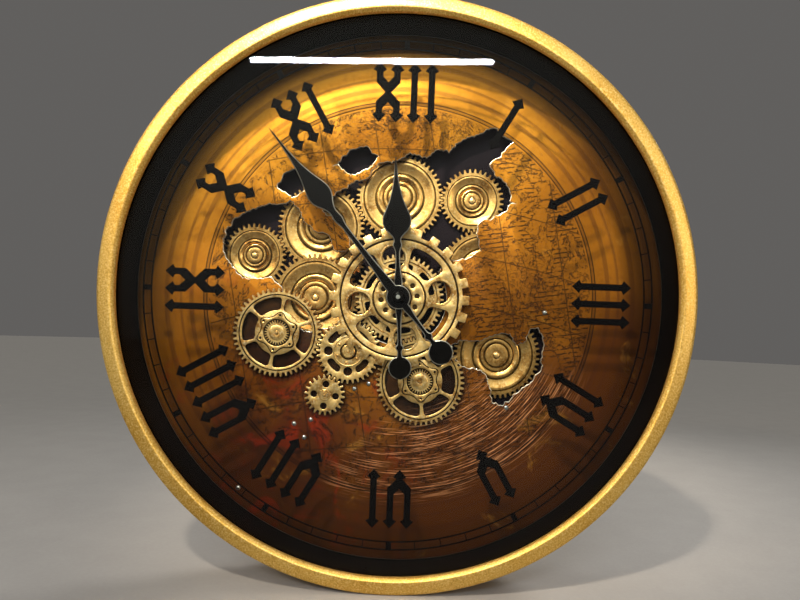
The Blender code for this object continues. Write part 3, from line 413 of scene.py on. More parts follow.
def turned(profile, steps=CASE_STEPS, closed=True, centre=(0.0, 0.0), base=0.0):
    """A profile of (radius, depth behind the base) spun about the axis. An open one has ends to be welded."""
    bm = bmesh.new()
    verts = [bm.verts.new((radius * MM, y_of(base + depth), 0.0)) for radius, depth in profile]
    edges = [bm.edges.new(pair) for pair in zip(verts, verts[1:])]
    if closed:
        edges.append(bm.edges.new((verts[-1], verts[0])))
    bmesh.ops.spin(bm, geom=verts + edges, cent=(0, 0, 0), axis=(0, 1, 0), angle=math.tau, steps=steps,
                   use_merge=True)
    bmesh.ops.translate(bm, verts=bm.verts, vec=(centre[0] * MM, 0.0, centre[1] * MM))
    bmesh.ops.remove_doubles(bm, verts=bm.verts, dist=1e-7)
    bmesh.ops.recalc_face_normals(bm, faces=bm.faces)
    return bm


def dome(radius, rise, base, centre, steps=24):
    """A low rounded head that stands on a surface, with its foot sunk in it."""
    arc = [(radius * math.sin(math.radians(a)), base - rise * math.cos(math.radians(a))) for a in range(0, 91, 15)]
    foot = base + 0.4
    return turned([*arc, (radius, foot), (0.0, foot)], steps, False, centre)


def join(bm, *others):
    """Moves other meshes into this one."""
    for other in others:
        held = bpy.data.meshes.new("held")
        other.to_mesh(held)
        other.free()
        bm.from_mesh(held)
        bpy.data.meshes.remove(held)
    return bm


def paint(bm, index):
    for face in bm.faces:
        face.material_index = index
    return bm


def reach_of(face):
    """How far the middle of a face is from the axis."""
    middle = face.calc_center_median()
    return math.hypot(middle.x, middle.z) / MM


def bevel_rim(bm, depth, width, segments=2, index=None):
    """Rounds the edges sharper than 50 degrees that lie at one depth."""
    level = y_of(depth)
    edges = [e for e in bm.edges if len(e.link_faces) == 2 and abs(e.verts[0].co.y - level) < 1e-6
             and abs(e.verts[1].co.y - level) < 1e-6 and e.calc_face_angle() > math.radians(50.0)]
    made = bmesh.ops.bevel(bm, geom=edges, offset=width * MM, offset_type="OFFSET", segments=segments,
                           profile=0.5, affect="EDGES", clamp_overlap=False, material=-1)
    if index is not None:
        for face in made["faces"]:
            face.material_index = index
    return bm


def paint_walls(bm, index, limit=0.5):
    """Gives the faces that look sideways their own finish."""
    for face in bm.faces:
        if abs(face.normal.y) < limit:
            face.material_index = index
    return bm


def drop_wall(bm, radius):
    """Opens the round wall of a hole or a disc, so that a turned ring can be welded on."""
    wall = [face for face in bm.faces if abs(face.normal.y) < 0.1 and abs(reach_of(face) - radius) < 0.12]
    bmesh.ops.delete(bm, geom=wall, context="FACES")
    return bm


def new_object(name, data):
    made = bpy.data.objects.new(name, data)
    bpy.context.scene.collection.objects.link(made)
    return made


def piece(name, bm, materials, replaces=(), body="root", at=(0.0, 0.0), turn=0.0):
    """Puts a finished mesh in its place on the face and lets it ride on its body."""
    bmesh.ops.rotate(bm, verts=bm.verts, cent=(0, 0, 0), matrix=Matrix.Rotation(math.radians(-turn), 3, "Y"))
    bmesh.ops.translate(bm, verts=bm.verts, vec=(at[0] * MM, 0.0, at[1] * MM + AXIS.z))
    bmesh.ops.remove_doubles(bm, verts=bm.verts, dist=2e-6)
    bmesh.ops.recalc_face_normals(bm, faces=bm.faces)
    mesh = bpy.data.meshes.new(name)
    bm.to_mesh(mesh)
    bm.free()
    for finish in materials:
        mesh.materials.append(finish)
    mesh.shade_smooth()
    mesh.set_sharp_from_angle(angle=math.radians(25.0))
    made = new_object(name, mesh)
    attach(made, body)
    if replaces:
        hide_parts(*replaces)


# Case

def make_case():
    rim = [(216.4, 5.7), (216.4, 3.4), (216.6, 2.7), (217.0, 2.1), (218.3, 0.6), (218.8, 0.2), (219.5, 0.0),
           (220.4, 0.05), (222.0, 0.25), (227.0, 0.95), (228.4, 1.4), (229.4, 2.2), (229.9, 3.3), (230.0, 4.6),
           (230.0, 13.5), (229.8, 14.0), (229.5, 14.0), (229.5, 3.7), (219.3, 3.7)]
    piece("rim", turned(rim), [GOLD], ["front_bezel"])
    drum = [(228.0, 4.2), (229.2, 4.2), (229.2, 66.0), (229.0, 66.6), (228.8, 67.4), (228.8, 69.0), (229.0, 69.8),
            (229.2, 70.4), (229.2, 79.0), (228.9, 79.7), (228.2, 80.0), (212.2, 80.0), (212.0, 79.8),
            (212.0, 79.0), (212.2, 78.8), (228.0, 78.8)]
    piece("drum", turned(drum), [GOLD], ["case_drum"])
    pane = [(0.0, GLASS_FRONT), (218.6, GLASS_FRONT), (219.0, GLASS_FRONT + 0.4), (219.0, GLASS_BACK - 0.4),
            (218.6, GLASS_BACK), (0.0, GLASS_BACK)]
    piece("pane", turned(pane, closed=False), [GLASS], ["glass"])
    liner = [(217.0, 9.4), (218.2, 9.4), (218.2, 53.7), (217.0, 53.7)]
    piece("liner", turned(liner), [LINER_BLACK], ["inner_liner"])


# Numerals and minute track, bonded to the back of the glass

BAR = 5.1
PITCH = 13.4  # from one stroke to the next
ARROW_W = 10.4
ARROW_L = 7.2
ARROW_POINT = 5.7
FORK_RISE = 7.0  # how far an arm slants out of a fork
FORK_LIFT = 4.6
FORK_AT = 7.5  # where the arms of a V part, above its foot
LOW = 134.5
HIGH = 180.5
NUMERALS = "I II III IV V VI VII VIII IX X XI XII".split()
STROKES = {"I": 1, "V": 2, "X": 2}
INK_EDGE = 0.25


def arrow(x, tip, sign):
    """A stroke's pointed end, from left to right. It points outwards where the sign is 1."""
    neck = tip - sign * ARROW_L
    wide = tip - sign * ARROW_POINT
    return [(x - BAR / 2, neck), (x - ARROW_W / 2, wide), (x, tip), (x + ARROW_W / 2, wide), (x + BAR / 2, neck)]


def fork(x, top, bend, sign):
    """Two arms that slant together at a bend, from the left of the bend round to its right."""
    arm, bar = PITCH / 2, BAR / 2
    apex = bend + sign * (FORK_LIFT + FORK_RISE * BAR / PITCH)
    points = [(x - bar, bend), (x - arm - bar, bend + sign * FORK_RISE)]
    points += arrow(x - arm, top, sign)
    points += [(x - arm + bar, bend + sign * (FORK_LIFT + FORK_RISE)), (x, apex),
               (x + arm - bar, bend + sign * (FORK_LIFT + FORK_RISE))]
    points += arrow(x + arm, top, sign)
    points += [(x + arm + bar, bend + sign * FORK_RISE), (x + bar, bend)]
    return points


def stroke(letter, x):
    """The outline of one letter, centred at x on the twelve o'clock line."""
    if letter == "I":
        return arrow(x, HIGH, 1) + arrow(x, LOW, -1)[::-1]
    if letter == "V":
        return fork(x, HIGH, LOW + FORK_AT, 1) + arrow(x, LOW, -1)[::-1]
    middle = (LOW + HIGH) / 2
    return fork(x, HIGH, middle + 0.4, 1) + fork(x, LOW, middle - 0.4, -1)[::-1]


def make_numerals():
    for hour, text in enumerate(NUMERALS, start=1):
        body = bmesh.new()
        left = -PITCH * sum(STROKES[letter] for letter in text) / 2
        for letter in text:
            outline = stroke(letter, left + PITCH * STROKES[letter] / 2)
            join(body, bevel_rim(flat(outline, [], PRINT_FRONT, PRINT_BACK), PRINT_FRONT, INK_EDGE))
            left += PITCH * STROKES[letter]
        piece(f"hour_mark_{hour}", body, [MATT_BLACK], [f"numeral_{hour}"], turn=-30.0 * hour)


def make_minute_track():
    outer, inner, line, hour_bar = 197.5, 190.5, 0.8, 4.2
    windows = []
    for minute in range(60):
        before = hour_bar if minute % 5 == 0 else line
        after = hour_bar if minute % 5 == 4 else line
        from_here = math.degrees(before / 2 / outer)
        to_next = math.degrees(after / 2 / outer)
        windows.append(ring_slot(inner + line, outer - line, 6 * minute + from_here, 6 - from_here - to_next, 4))
    body = flat(circle(outer, 240), [circle(inner, 240), *windows], PRINT_FRONT, PRINT_BACK)
    piece("minute_ring", body, [MATT_BLACK], ["minute_track"])


# Dial plate

MAIN_OPENING = (
    (-145, 31), (-147, 41), (-144, 52), (-138, 61), (-128, 67), (-110, 74), (-104, 73), (-92, 76),
    (-86, 71), (-84, 64), (-74, 54), (-60, 49), (-53, 36), (-41, 38), (-44, 52), (-54, 62), (-66, 70),
    (-58, 82), (-44, 92), (-30, 98), (-22, 110), (-8, 112), (4, 120), (18, 116), (26, 123), (36, 121),
    (44, 130), (60, 137), (72, 143), (88, 132), (82, 126), (70, 114), (74, 104), (84, 98), (90, 82),
    (79, 72), (64, 66), (62, 54), (65, 42), (54, 35), (42, 34),
)
LOWER_EDGE = (
    (-52, -26), (-78, -30), (-96, -14), (-97, 5), (-107, 14), (-118, 12), (-130, 12), (-139, 21),
)
SIDE_OPENING = (
    (44, -37), (50, -33), (70, -32), (84, -26), (92, -26), (97, -36), (104, -33), (109, -21),
    (115, -20), (120, -32), (119, -52), (112, -64), (100, -74), (88, -85), (80, -83), (78, -72),
    (74, -60), (66, -55), (54, -54), (46, -46),
)
ROUND_OPENING = ((-104, 88), (-99, 99), (-90, 103), (-80, 97), (-78, 88), (-84, 84), (-92, 80))
NOTCH_OPENING = ((-56, 108), (-46, 120), (-32, 124), (-22, 116), (-30, 106), (-44, 100))
WHEEL_ROOM = 38.5  # radius of the opening round the deep centre gear
TEAR_STEP = 1.3
TEARS = ((1.3, 1.7), (1.7, 4.1), (1.2, 9.7))  # height and width of the tears, small to large
SCREWS = ((120.0, -7.0), (91.5, -86.8), (-83.4, -106.6), (-74.7, -117.7), (-69.8, -102.9), (-23.0, -71.3),
          (-34.6, -75.8), (-127.7, -161.5))


def ragged(points, keep=()):
    """Breaks each side of an outline into short uneven steps, like a torn coast."""
    made = []
    for i, (x, z) in enumerate(points):
        ahead = points[(i + 1) % len(points)]
        made.append((x, z))
        if i in keep:
            continue
        length = math.dist((x, z), ahead)
        parts = max(1, round(length / TEAR_STEP))
        across = ((ahead[1] - z) / length, (x - ahead[0]) / length)
        for step in range(1, parts):
            share = step / parts
            at = Vector((x + (ahead[0] - x) * share, 0.0, z + (ahead[1] - z) * share))
            shift = sum(height * noise.noise(at / width) for height, width in TEARS)
            made.append((at.x + across[0] * shift, at.z + across[1] * shift))
    return made


def main_opening():
    """The large ragged opening, closed by an arc round the deep centre gear."""
    arc = [polar(WHEEL_ROOM, 38.0 - 193.0 * i / 36) for i in range(37)]
    points = [*MAIN_OPENING, *arc, *LOWER_EDGE]
    keep = range(len(MAIN_OPENING), len(MAIN_OPENING) + len(arc) - 1)
    return ragged(points, keep)


def pin(spot, head, foot):
    """A riveted post with a domed, stepped head."""
    radius = 2.9
    profile = [(0.0, head - 1.7), (0.9, head - 1.6), (1.4, head - 1.1), (1.5, head - 0.7), (radius - 0.3, head - 0.7),
               (radius, head - 0.4), (radius, head), (2.0, head), (2.0, foot), (0.0, foot)]
    return turned(profile, 24, False, spot)


def make_dial():
    holes = [main_opening(), ragged(SIDE_OPENING), ragged(ROUND_OPENING), ragged(NOTCH_OPENING)]
    body = flat(circle(216.5, CASE_STEPS), holes, DIAL_FRONT, DIAL_BACK)
    paint_walls(body, 1)
    bevel_rim(body, DIAL_FRONT, 0.5, index=1)
    piece("dial", body, [COPPER, CUT_EDGE], ["dial_plate"])
    studs = join(bmesh.new(), *[dome(2.0, 1.1, DIAL_FRONT, spot) for spot in SCREWS])
    piece("dial_studs", studs, [STEEL])
    pins = join(bmesh.new(), *[pin(spot_of(gear), WHEEL_FRONT - 0.7, DIAL_FRONT + 0.2) for gear in FRONT_WHEELS])
    piece("wheel_pins", pins, [GEAR_GOLD])
    rear = join(bmesh.new(), *[dome(3.1, 1.2, rear_front(gear) - 0.2, spot_of(gear)) for gear in REAR_GEARS])
    piece("rear_pins", rear, [GEAR_GOLD])


# Gears

def root_of(teeth):
    return MODULE * teeth / 2 - 1.25 * MODULE


def tooth_ring(teeth):
    """The outline of a gear whose teeth are short pegs with rounded square tips."""
    tip_half, root_half, corner = 0.74, 1.16, 0.42
    tip = MODULE * teeth / 2 + MODULE
    side = ((root_of(teeth), root_half), (tip - corner, tip_half), (tip, tip_half - corner))
    points = []
    for k in range(teeth):
        for radius, half in side:
            points.append(polar(radius, 360.0 * k / teeth - math.degrees(half / radius)))
        for radius, half in side[::-1]:
            points.append(polar(radius, 360.0 * k / teeth + math.degrees(half / radius)))
    return points


def toothed_rim(outline, edge, steps, front, back, bevel=TOOTH_EDGE, segments=1):
    """A ring of teeth, open inside so that a groove or a dish can be welded on."""
    rim = flat(outline, [circle(edge, steps)], front, back)
    return drop_wall(bevel_rim(rim, front, bevel, segments), edge)


def add_groove(rim, edge, inner, sunk, steps, front, back):
    """A narrow dark groove inside a ring of teeth."""
    groove = [(edge, front), (edge - 0.1, front + sunk), (inner + 0.1, front + sunk), (inner, front)]
    join(rim, paint(turned(groove, steps, False), 1), turned([(edge, back), (inner, back)], steps, False))


def set_wheel(gear, body):
    """Puts an open wheel on its pin, with its teeth in mesh."""
    piece(gear + "_open", body, [GEAR_GOLD, GEAR_SHADE], [gear], gear, spot_of(gear), phase_of(gear))


# A dish from its edge to its hub, as shares of the edge's radius and depths behind the teeth's front
DISH_STEPS = (
    (1.0, 0.0), (0.95, 0.0), (0.94, 0.6), (0.915, 0.6), (0.905, 0.1), (0.87, 0.0), (0.84, 0.2), (0.71, 1.35),
    (0.65, 1.5), (0.64, 1.9), (0.605, 1.9), (0.595, 0.6), (0.575, 0.25), (0.545, 0.15), (0.47, 0.9), (0.45, 1.4),
    (0.42, 1.4), (0.41, 0.2), (0.385, 0.0), (0.35, 0.1), (0.335, 0.95), (0.3, 0.95), (0.29, 0.0), (0.27, -0.15),
    (0.17, -0.15),
)
# Rings of the dish, as shares of the edge's radius, painted dark as shade in its valleys, together with the patina
DISH_VALLEYS = ((0.91, 0.945), (0.598, 0.645), (0.415, 0.455), (0.295, 0.34))


def dished_gear(gear):
    """Teeth round a turned dish with raised rings, dark valleys and a hub."""
    teeth = TRAIN[gear][0]
    front = rear_front(gear)
    back = front + WHEEL_THICK
    edge = root_of(teeth) - 1.1
    body = toothed_rim(tooth_ring(teeth), edge, WHEEL_STEPS, front, back)
    dish = [(edge * share, front + sunk) for share, sunk in DISH_STEPS]
    dish += [(BORE_R + 0.8, front - 0.1), (BORE_R, front + 0.2), (BORE_R, back), (edge, back)]
    web = turned(dish, WHEEL_STEPS, False)
    for face in web.faces:
        in_valley = any(low < reach_of(face) / edge < high for low, high in DISH_VALLEYS)
        if in_valley and face.calc_center_median().y <= y_of(back - 0.1):
            face.material_index = 1
    join(body, web)
    piece(gear + "_dish", body, [DISH_GOLD, DISH_SHADE], [gear], gear, spot_of(gear), phase_of(gear))


def hub_gear(radius, teeth, front, back):
    """A small toothed hub with a raised collar."""
    points = []
    for k in range(teeth):
        for share, reach in ((-0.32, 0.8), (-0.18, 1.0), (0.18, 1.0), (0.32, 0.8)):
            points.append(polar(radius * reach, 360.0 * (k + share) / teeth))
    body = paint_walls(flat(points, [circle(BORE_R, BORE_STEPS)], front, back), 1)
    collar = [(BORE_R, -0.5), (BORE_R + 0.6, -0.6), (radius * 0.55, -0.6), (radius * 0.62, -0.3),
              (radius * 0.62, 0.2), (BORE_R, 0.2)]
    return join(bevel_rim(body, front, 0.15, segments=1), turned(collar, 48, base=front))


def star(reach, first):
    """A six-pointed outline with soft hollows between its points."""
    hollow = 3.6
    bumps = [(a, 0.5 + 0.5 * math.cos(math.radians(6 * a))) for a in range(0, 360, 4)]
    return [polar(reach - hollow + hollow * bump ** 1.5, first + a) for a, bump in bumps]


def spoked_wheel(gear, spoke_at):
    """A wheel with six spokes, a grooved rim, a six-pointed relief with bosses, and a toothed hub."""
    front, back = WHEEL_FRONT, WHEEL_BACK
    edge, inner = 31.4, 30.5
    first = spoke_at - phase_of(gear)
    body = toothed_rim(tooth_ring(TRAIN[gear][0]), edge, WHEEL_STEPS, front, back)
    add_groove(body, edge, inner, 0.8, WHEEL_STEPS, front, back)
    windows = [ring_slot(18.2, 28.8, first + 60 * k + 3.5, 53, 10, corner=2.6) for k in range(6)]
    web = flat(circle(inner, WHEEL_STEPS), [*windows, circle(BORE_R, BORE_STEPS)], front, back)
    bevel_rim(drop_wall(web, inner), front, 0.5)
    join(body, paint_walls(web, 1, STEEP))

    star_front = front - 1.0
    spots = [polar(14.2, first + 60 * k) for k in range(6)]
    pits = [circle(1.1, 12, spot) for spot in spots]
    relief = paint_walls(flat(star(16.6, first), [*pits, circle(11.0, 64)], star_front, front + 0.3), 1)
    # A flat star painted dark under the relief: painted shade round the star's foot and in its pits
    star_shade = paint(flat(star(17.5, first), [circle(2.3, BORE_STEPS)], front - 0.1, front + 0.2), 1)
    join(body, bevel_rim(relief, star_front, 0.35), star_shade)
    boss = [(1.1, 0.2), (1.1, -0.5), (1.3, -0.6), (1.9, -0.6), (2.3, -0.2), (2.3, 0.2)]
    join(body, *[turned(boss, 20, True, spot, star_front) for spot in spots])
    join(body, hub_gear(10.2, 28, front - 1.4, front + 0.3))
    set_wheel(gear, body)


def stamped_wheel(gear, holes):
    """A flat wheel with dark holes and rounded edges."""
    sheet = flat(tooth_ring(TRAIN[gear][0]), [*holes, circle(BORE_R, BORE_STEPS)], WHEEL_FRONT, WHEEL_BACK)
    return bevel_rim(paint_walls(sheet, 1, STEEP), WHEEL_FRONT, 0.3)


def perforated_wheel():
    """A wheel with four holes between four slots, a raised ring, a dark well and a hub among six domes."""
    front = WHEEL_FRONT
    rounds = [circle(3.6, 24, polar(16.4, 90 * k)) for k in range(4)]
    slots = [ring_slot(13.7, 19.2, 90 * k + 23, 44, 8, corner=2.3) for k in range(4)]
    body = stamped_wheel("perforated_wheel", [*rounds, *slots])
    ring = [(11.4, -0.4), (11.8, -0.5), (12.3, -0.2), (12.3, 0.2), (11.4, 0.2)]
    well = [(2.3, -0.05), (7.0, -0.05), (7.0, 0.2), (2.3, 0.2)]
    hub = [(BORE_R, -1.0), (4.6, -1.0), (5.5, -0.4), (5.5, 0.2), (BORE_R, 0.2)]
    join(body, turned(ring, 64, base=front), paint(turned(well, 48, base=front), 1), turned(hub, 48, base=front))
    join(body, *[dome(1.4, 0.9, front, polar(9.2, 60 * k + 22.5), 16) for k in range(6)])
    set_wheel("perforated_wheel", body)


def small_wheel():
    """A wheel with four holes and a collar."""
    body = stamped_wheel("small_wheel", [circle(2.7, 24, polar(9.0, 90 * k)) for k in range(4)])
    collar = [(BORE_R, -0.6), (4.2, -0.6), (4.8, -0.2), (4.8, 0.2), (BORE_R, 0.2)]
    join(body, turned(collar, 48, base=WHEEL_FRONT))
    set_wheel("small_wheel", body)


def coarse_teeth():
    """Square teeth 15 degrees apart, with one wide tooth at the top in place of three."""
    root, shoulder, tip = 51.5, 56.4, 57.0
    side = ((root, -0.29), (shoulder, -0.25), (tip, -0.21), (tip, 0.21), (shoulder, 0.25), (root, 0.29))
    points = []
    for k in range(24):
        if k not in (5, 6, 7):
            points += [polar(radius, 15.0 * (k + share)) for radius, share in side]
        elif k == 5:
            points += [polar(root, 72.0), polar(tip, 72.4), *[polar(57.6, a) for a in range(73, 108)],
                       polar(tip, 107.6), polar(root, 108.0)]
    return points


def centre_wheel():
    """The coarse wheel: square teeth, a grooved rim, ringed holes, curved windows and a pierced hub."""
    front, back = CENTRE_FRONT, CENTRE_FRONT + 3.0
    edge, inner = 48.4, 46.9
    body = toothed_rim(coarse_teeth(), edge, CENTRE_STEPS, front, back, 0.4, 2)
    add_groove(body, edge, inner, 0.9, CENTRE_STEPS, front, back)
    spots = [polar(33.0, 10 + 90 * k) for k in range(4)]
    holes = [circle(9.0, 40, spot) for spot in spots]
    holes += [ring_slot(24.5, 42.5, 90 * k + 33, 44, 12, corner=4.0) for k in range(4)]
    web = flat(circle(inner, CENTRE_STEPS), [*holes, circle(CENTRE_BORE_R, 32)], front, back)
    paint_walls(drop_wall(web, inner), 1, STEEP)
    join(body, bevel_rim(web, front, 0.7))
    ring = [(9.9, -0.35), (11.0, -0.35), (11.3, 0.0), (11.3, 0.3), (9.6, 0.3), (9.6, 0.0)]
    join(body, *[turned(ring, 48, True, spot, front) for spot in spots])

    hub_front = front - 1.1
    # A flat disc painted dark under the hub: painted shade at the bottoms of the hub's holes
    floor = [(8.0, -0.08), (21.9, -0.08), (21.9, 0.2), (8.0, 0.2)]
    join(body, paint(turned(floor, WHEEL_STEPS, base=front), 1))
    hub_holes = [circle(2.0, 16, polar(14.6, 36 * k + 8)) for k in range(10)]
    hub = flat(circle(20.4, WHEEL_STEPS), [*hub_holes, circle(10.4, 48)], hub_front, front + 0.1)
    join(body, bevel_rim(paint_walls(hub, 1, STEEP), hub_front, 0.5))
    collar = [(CENTRE_BORE_R, -1.4), (7.4, -1.4), (8.2, -0.9), (8.2, 0.4), (CENTRE_BORE_R, 0.4)]
    join(body, turned(collar, 64, base=front))
    piece("centre_wheel_open", body, [GEAR_GOLD, GEAR_SHADE], ["centre_wheel"], "centre_gears")


def deep_centre_gear():
    """The gear behind the coarse wheel, deep enough to mesh on both sides of the dial."""
    front, back = WHEEL_FRONT, INNER_GEAR_FRONT + WHEEL_THICK
    edge, inner, floor = 31.0, 29.6, WHEEL_BACK
    body = toothed_rim(tooth_ring(TRAIN["centre_gears"][0]), edge, WHEEL_STEPS, front, back)
    join(body, turned([(edge, front), (30.4, front + 0.7), (inner, front + 0.7)], WHEEL_STEPS, False),
         turned([(edge, back), (inner, back), (inner, floor)], WHEEL_STEPS, False))
    slots = [ring_slot(14.0, 29.0, 60 * k + 8, 44, 10, corner=2.0) for k in range(6)]
    web = flat(circle(inner, WHEEL_STEPS), [*slots, circle(CENTRE_BORE_R, 32)], front + 0.7, floor)
    join(body, paint_walls(drop_wall(web, inner), 1, STEEP))
    boss_front = CENTRE_FRONT + 3.3
    boss = [(CENTRE_BORE_R, boss_front), (9.0, boss_front), (9.0, front + 1.0), (CENTRE_BORE_R, front + 1.0)]
    join(body, turned(boss, 48))
    piece("centre_gear_deep", body, [GEAR_GOLD, GEAR_SHADE], ["centre_drum_gear"], "centre_gears",
          turn=phase_of("centre_gears"))


def make_gears():
    for gear in REAR_GEARS:
        dished_gear(gear)
    spoked_wheel("left_spoked_wheel", 80.0)
    spoked_wheel("bottom_spoked_wheel", 275.0)
    perforated_wheel()
    small_wheel()
    centre_wheel()
    deep_centre_gear()


# Hands: half widths and distances from the axis, from the tip to the hub and on to the tail

HAND_EDGE = 0.75
HAND_SLOPE = 0.5
HAND_THICK = 1.0
MINUTE_SIDE = ((0.35, 167), (0.8, 158), (1.4, 146), (2.3, 135), (3.7, 126), (5.6, 118), (7.8, 111), (9.2, 105.5),
               (9.5, 102), (9.1, 98.5), (7.4, 94.5), (5.2, 91), (3.6, 87.5), (2.9, 84), (3.3, 80), (3.5, 77),
               (2.7, 73), (2.1, 68), (2.3, 50), (3.1, 28), (4.2, 14))
MINUTE_TAIL_SIDE = ((3.0, -12), (2.1, -20), (1.7, -30), (1.9, -36), (3.2, -38), (3.2, -40), (1.9, -42), (2.2, -45))
HOUR_SIDE = ((0.35, 111), (1.0, 104), (1.9, 95), (3.4, 86), (5.8, 77), (8.6, 70), (10.8, 65), (11.5, 61),
             (11.0, 57), (8.8, 53), (5.8, 50), (3.7, 47.5), (2.9, 45), (3.6, 42.5), (3.6, 40.5), (2.5, 38),
             (1.9, 34), (2.1, 24), (3.4, 13))
HOUR_TAIL_SIDE = ((2.8, -11), (1.9, -20), (1.6, -30), (1.8, -37), (3.1, -39), (3.1, -41), (1.9, -43), (2.2, -47))


def smooth_side(points):
    """Fills a run of (half width, distance) points with a smooth curve."""
    steps = 3
    made = []
    count = len(points)
    for i in range(count - 1):
        run = [Vector(points[min(max(i + k, 0), count - 1)]) for k in (-1, 0, 1, 2)]
        for step in range(steps):
            t = step / steps
            spot = 0.5 * (2 * run[1] + (run[2] - run[0]) * t + (2 * run[0] - 5 * run[1] + 4 * run[2] - run[3]) * t * t
                          + (3 * run[1] - run[0] - 3 * run[2] + run[3]) * t ** 3)
            made.append((max(spot.x, 0.3), spot.y))
    made.append(tuple(points[-1]))
    return made


def round_side(radius, middle, from_half, to_half):
    """The right half of a disc, between two half widths."""
    steps = 12
    first = math.degrees(math.acos(from_half / radius))
    last = -math.degrees(math.acos(to_half / radius))
    spots = [polar(radius, first + (last - first) * i / steps) for i in range(steps + 1)]
    return [(x, z + middle) for x, z in spots]


def loop(bm, points, depth):
    """A closed row of edges at one depth."""
    verts = [bm.verts.new((x * MM, y_of(depth), z * MM)) for x, z in points]
    return [bm.edges.new((verts[i - 1], vert)) for i, vert in enumerate(verts)]


def drawn_in(points, width):
    """The same outline moved inwards, less where the hand is narrow."""
    made = []
    for i, (x, z) in enumerate(points):
        before, after = Vector(points[i - 1]), Vector(points[(i + 1) % len(points)])
        along = (after - before).normalized()
        step = min(width, 0.5 * abs(x))
        made.append((x + along.y * step, z - along.x * step))
    return made


def hand(node, side, tail_side, hub_r, tail_r, tail_at, bore, front, turn):
    """A black hand with a bright slanting edge all round."""
    back = front + HAND_THICK
    right = smooth_side(side) + round_side(hub_r, 0.0, side[-1][0], tail_side[0][0])
    right += smooth_side(tail_side) + round_side(tail_r, tail_at, tail_side[-1][0], 0.01)[1:]
    outline = right + [(-x, z) for x, z in reversed(right)][1:]
    bm = bmesh.new()
    face = loop(bm, drawn_in(outline, HAND_EDGE), front)
    shoulder = loop(bm, outline, front + HAND_SLOPE)
    foot = loop(bm, outline, back)
    hole, hole_foot = loop(bm, circle(bore, 32), front), loop(bm, circle(bore, 32), back)
    bmesh.ops.bridge_loops(bm, edges=face + shoulder)
    bmesh.ops.bridge_loops(bm, edges=shoulder + foot)
    for made in bm.faces:
        made.material_index = 1
    bmesh.ops.bridge_loops(bm, edges=hole + hole_foot)
    bmesh.ops.triangle_fill(bm, use_beauty=True, edges=face + hole)
    bmesh.ops.triangle_fill(bm, use_beauty=True, edges=foot + hole_foot)
    piece(node + "_blade", bm, [ENAMEL, BRIGHT_CUT], [node], node, turn=turn)


def make_hands():
    minutes = 11 * 60 + 53.4  # the time shown
    hand("minute_hand", MINUTE_SIDE, MINUTE_TAIL_SIDE, hub_r=9.6, tail_r=9.8, tail_at=-55.0, bore=1.95,
         front=MINUTE_FRONT, turn=-6.0 * (minutes % 60))
    hand("hour_hand", HOUR_SIDE, HOUR_TAIL_SIDE, hub_r=8.6, tail_r=9.3, tail_at=-56.0, bore=3.25,
         front=HOUR_FRONT, turn=-0.5 * minutes)
    cap = [(0.0, 13.0), (1.6, 13.05), (1.7, 13.5), (2.5, 13.6), (3.8, 14.2), (4.8, 15.2), (5.2, 16.4), (5.2, 17.2),
           (2.0, 17.2), (2.0, 14.9), (0.0, 14.9)]
    body = turned(cap, 64, False)
    # The flat on top of the cap is bare metal
    for face in body.faces:
        if reach_of(face) < 1.7 and face.calc_center_median().y < y_of(14.0):
            face.material_index = 1
    piece("centre_cap", body, [ENAMEL, BRIGHT_CUT], ["hand_cap"], "minute_hand")


# Nodes that keep their own shape

def dress_nodes():
    looks = {
        BACKING: ("gear_plate",),
        GEAR_GOLD: ("motor_pinion", "hour_tube", "minute_arbor", "movement_nut", "centre_nut"),
        MOULDED: ("back_cover", "battery_door", "battery_box", "gear_motor", "quartz_movement", "setting_knob"),
        STEEL: (*[f"back_screw_{i}" for i in range(1, 5)], "movement_battery", "motor_battery_1",
                "motor_battery_2", "motor_switch"),
    }
    for finish, names in looks.items():
        for name in names:
            for mesh_slot in frame["nodes"][name].material_slots:
                mesh_slot.material = finish


# Camera, floor and light

CAMERA_AT = Vector((0.0254, -0.570, -0.2087))
CAMERA_YAW = 0.08
CAMERA_PITCH = -0.69
CAMERA_ROLL = 2.21
LENS = 29.0
SENSOR = 36.0
PICTURE = (800, 600)
OFF_CENTRE = (30.0, 35.0)  # how far right and down the picture is shifted, in pixels
TUBE_ENDS = ((250, 59), (495, 62))  # where the ceiling tube is mirrored in the glass, in pixels
TUBE_AWAY = 1.9  # metres from the glass
TUBE_WIDTH = 0.018


def make_camera():
    data = bpy.data.cameras.new("camera")
    data.lens = LENS
    data.sensor_width = SENSOR
    data.clip_start = 0.01
    data.shift_x = -OFF_CENTRE[0] / PICTURE[0]
    data.shift_y = OFF_CENTRE[1] / PICTURE[0]
    camera = new_object("camera", data)
    turn = (Matrix.Rotation(math.radians(-CAMERA_YAW), 4, "Z")
            @ Matrix.Rotation(math.radians(90.0 + CAMERA_PITCH), 4, "X")
            @ Matrix.Rotation(math.radians(CAMERA_ROLL), 4, "Z"))
    camera.matrix_world = Matrix.Translation(CAMERA_AT) @ turn
    bpy.context.scene.camera = camera
    return camera


def seen_in_glass(camera, pixel_x, pixel_y, distance):
    """The point whose mirror image in the glass falls on a pixel, this far from the glass."""
    scale = PICTURE[0] * LENS / SENSOR
    across = (pixel_x - PICTURE[0] / 2 - OFF_CENTRE[0]) / scale
    down = (pixel_y - PICTURE[1] / 2 - OFF_CENTRE[1]) / scale
    ray = camera.matrix_world.to_3x3() @ Vector((across, -down, -1.0))
    hit = CAMERA_AT + ray * ((y_of(GLASS_FRONT) - CAMERA_AT.y) / ray.y)
    back = Vector((ray.x, -ray.y, ray.z)).normalized()
    return hit + back * distance


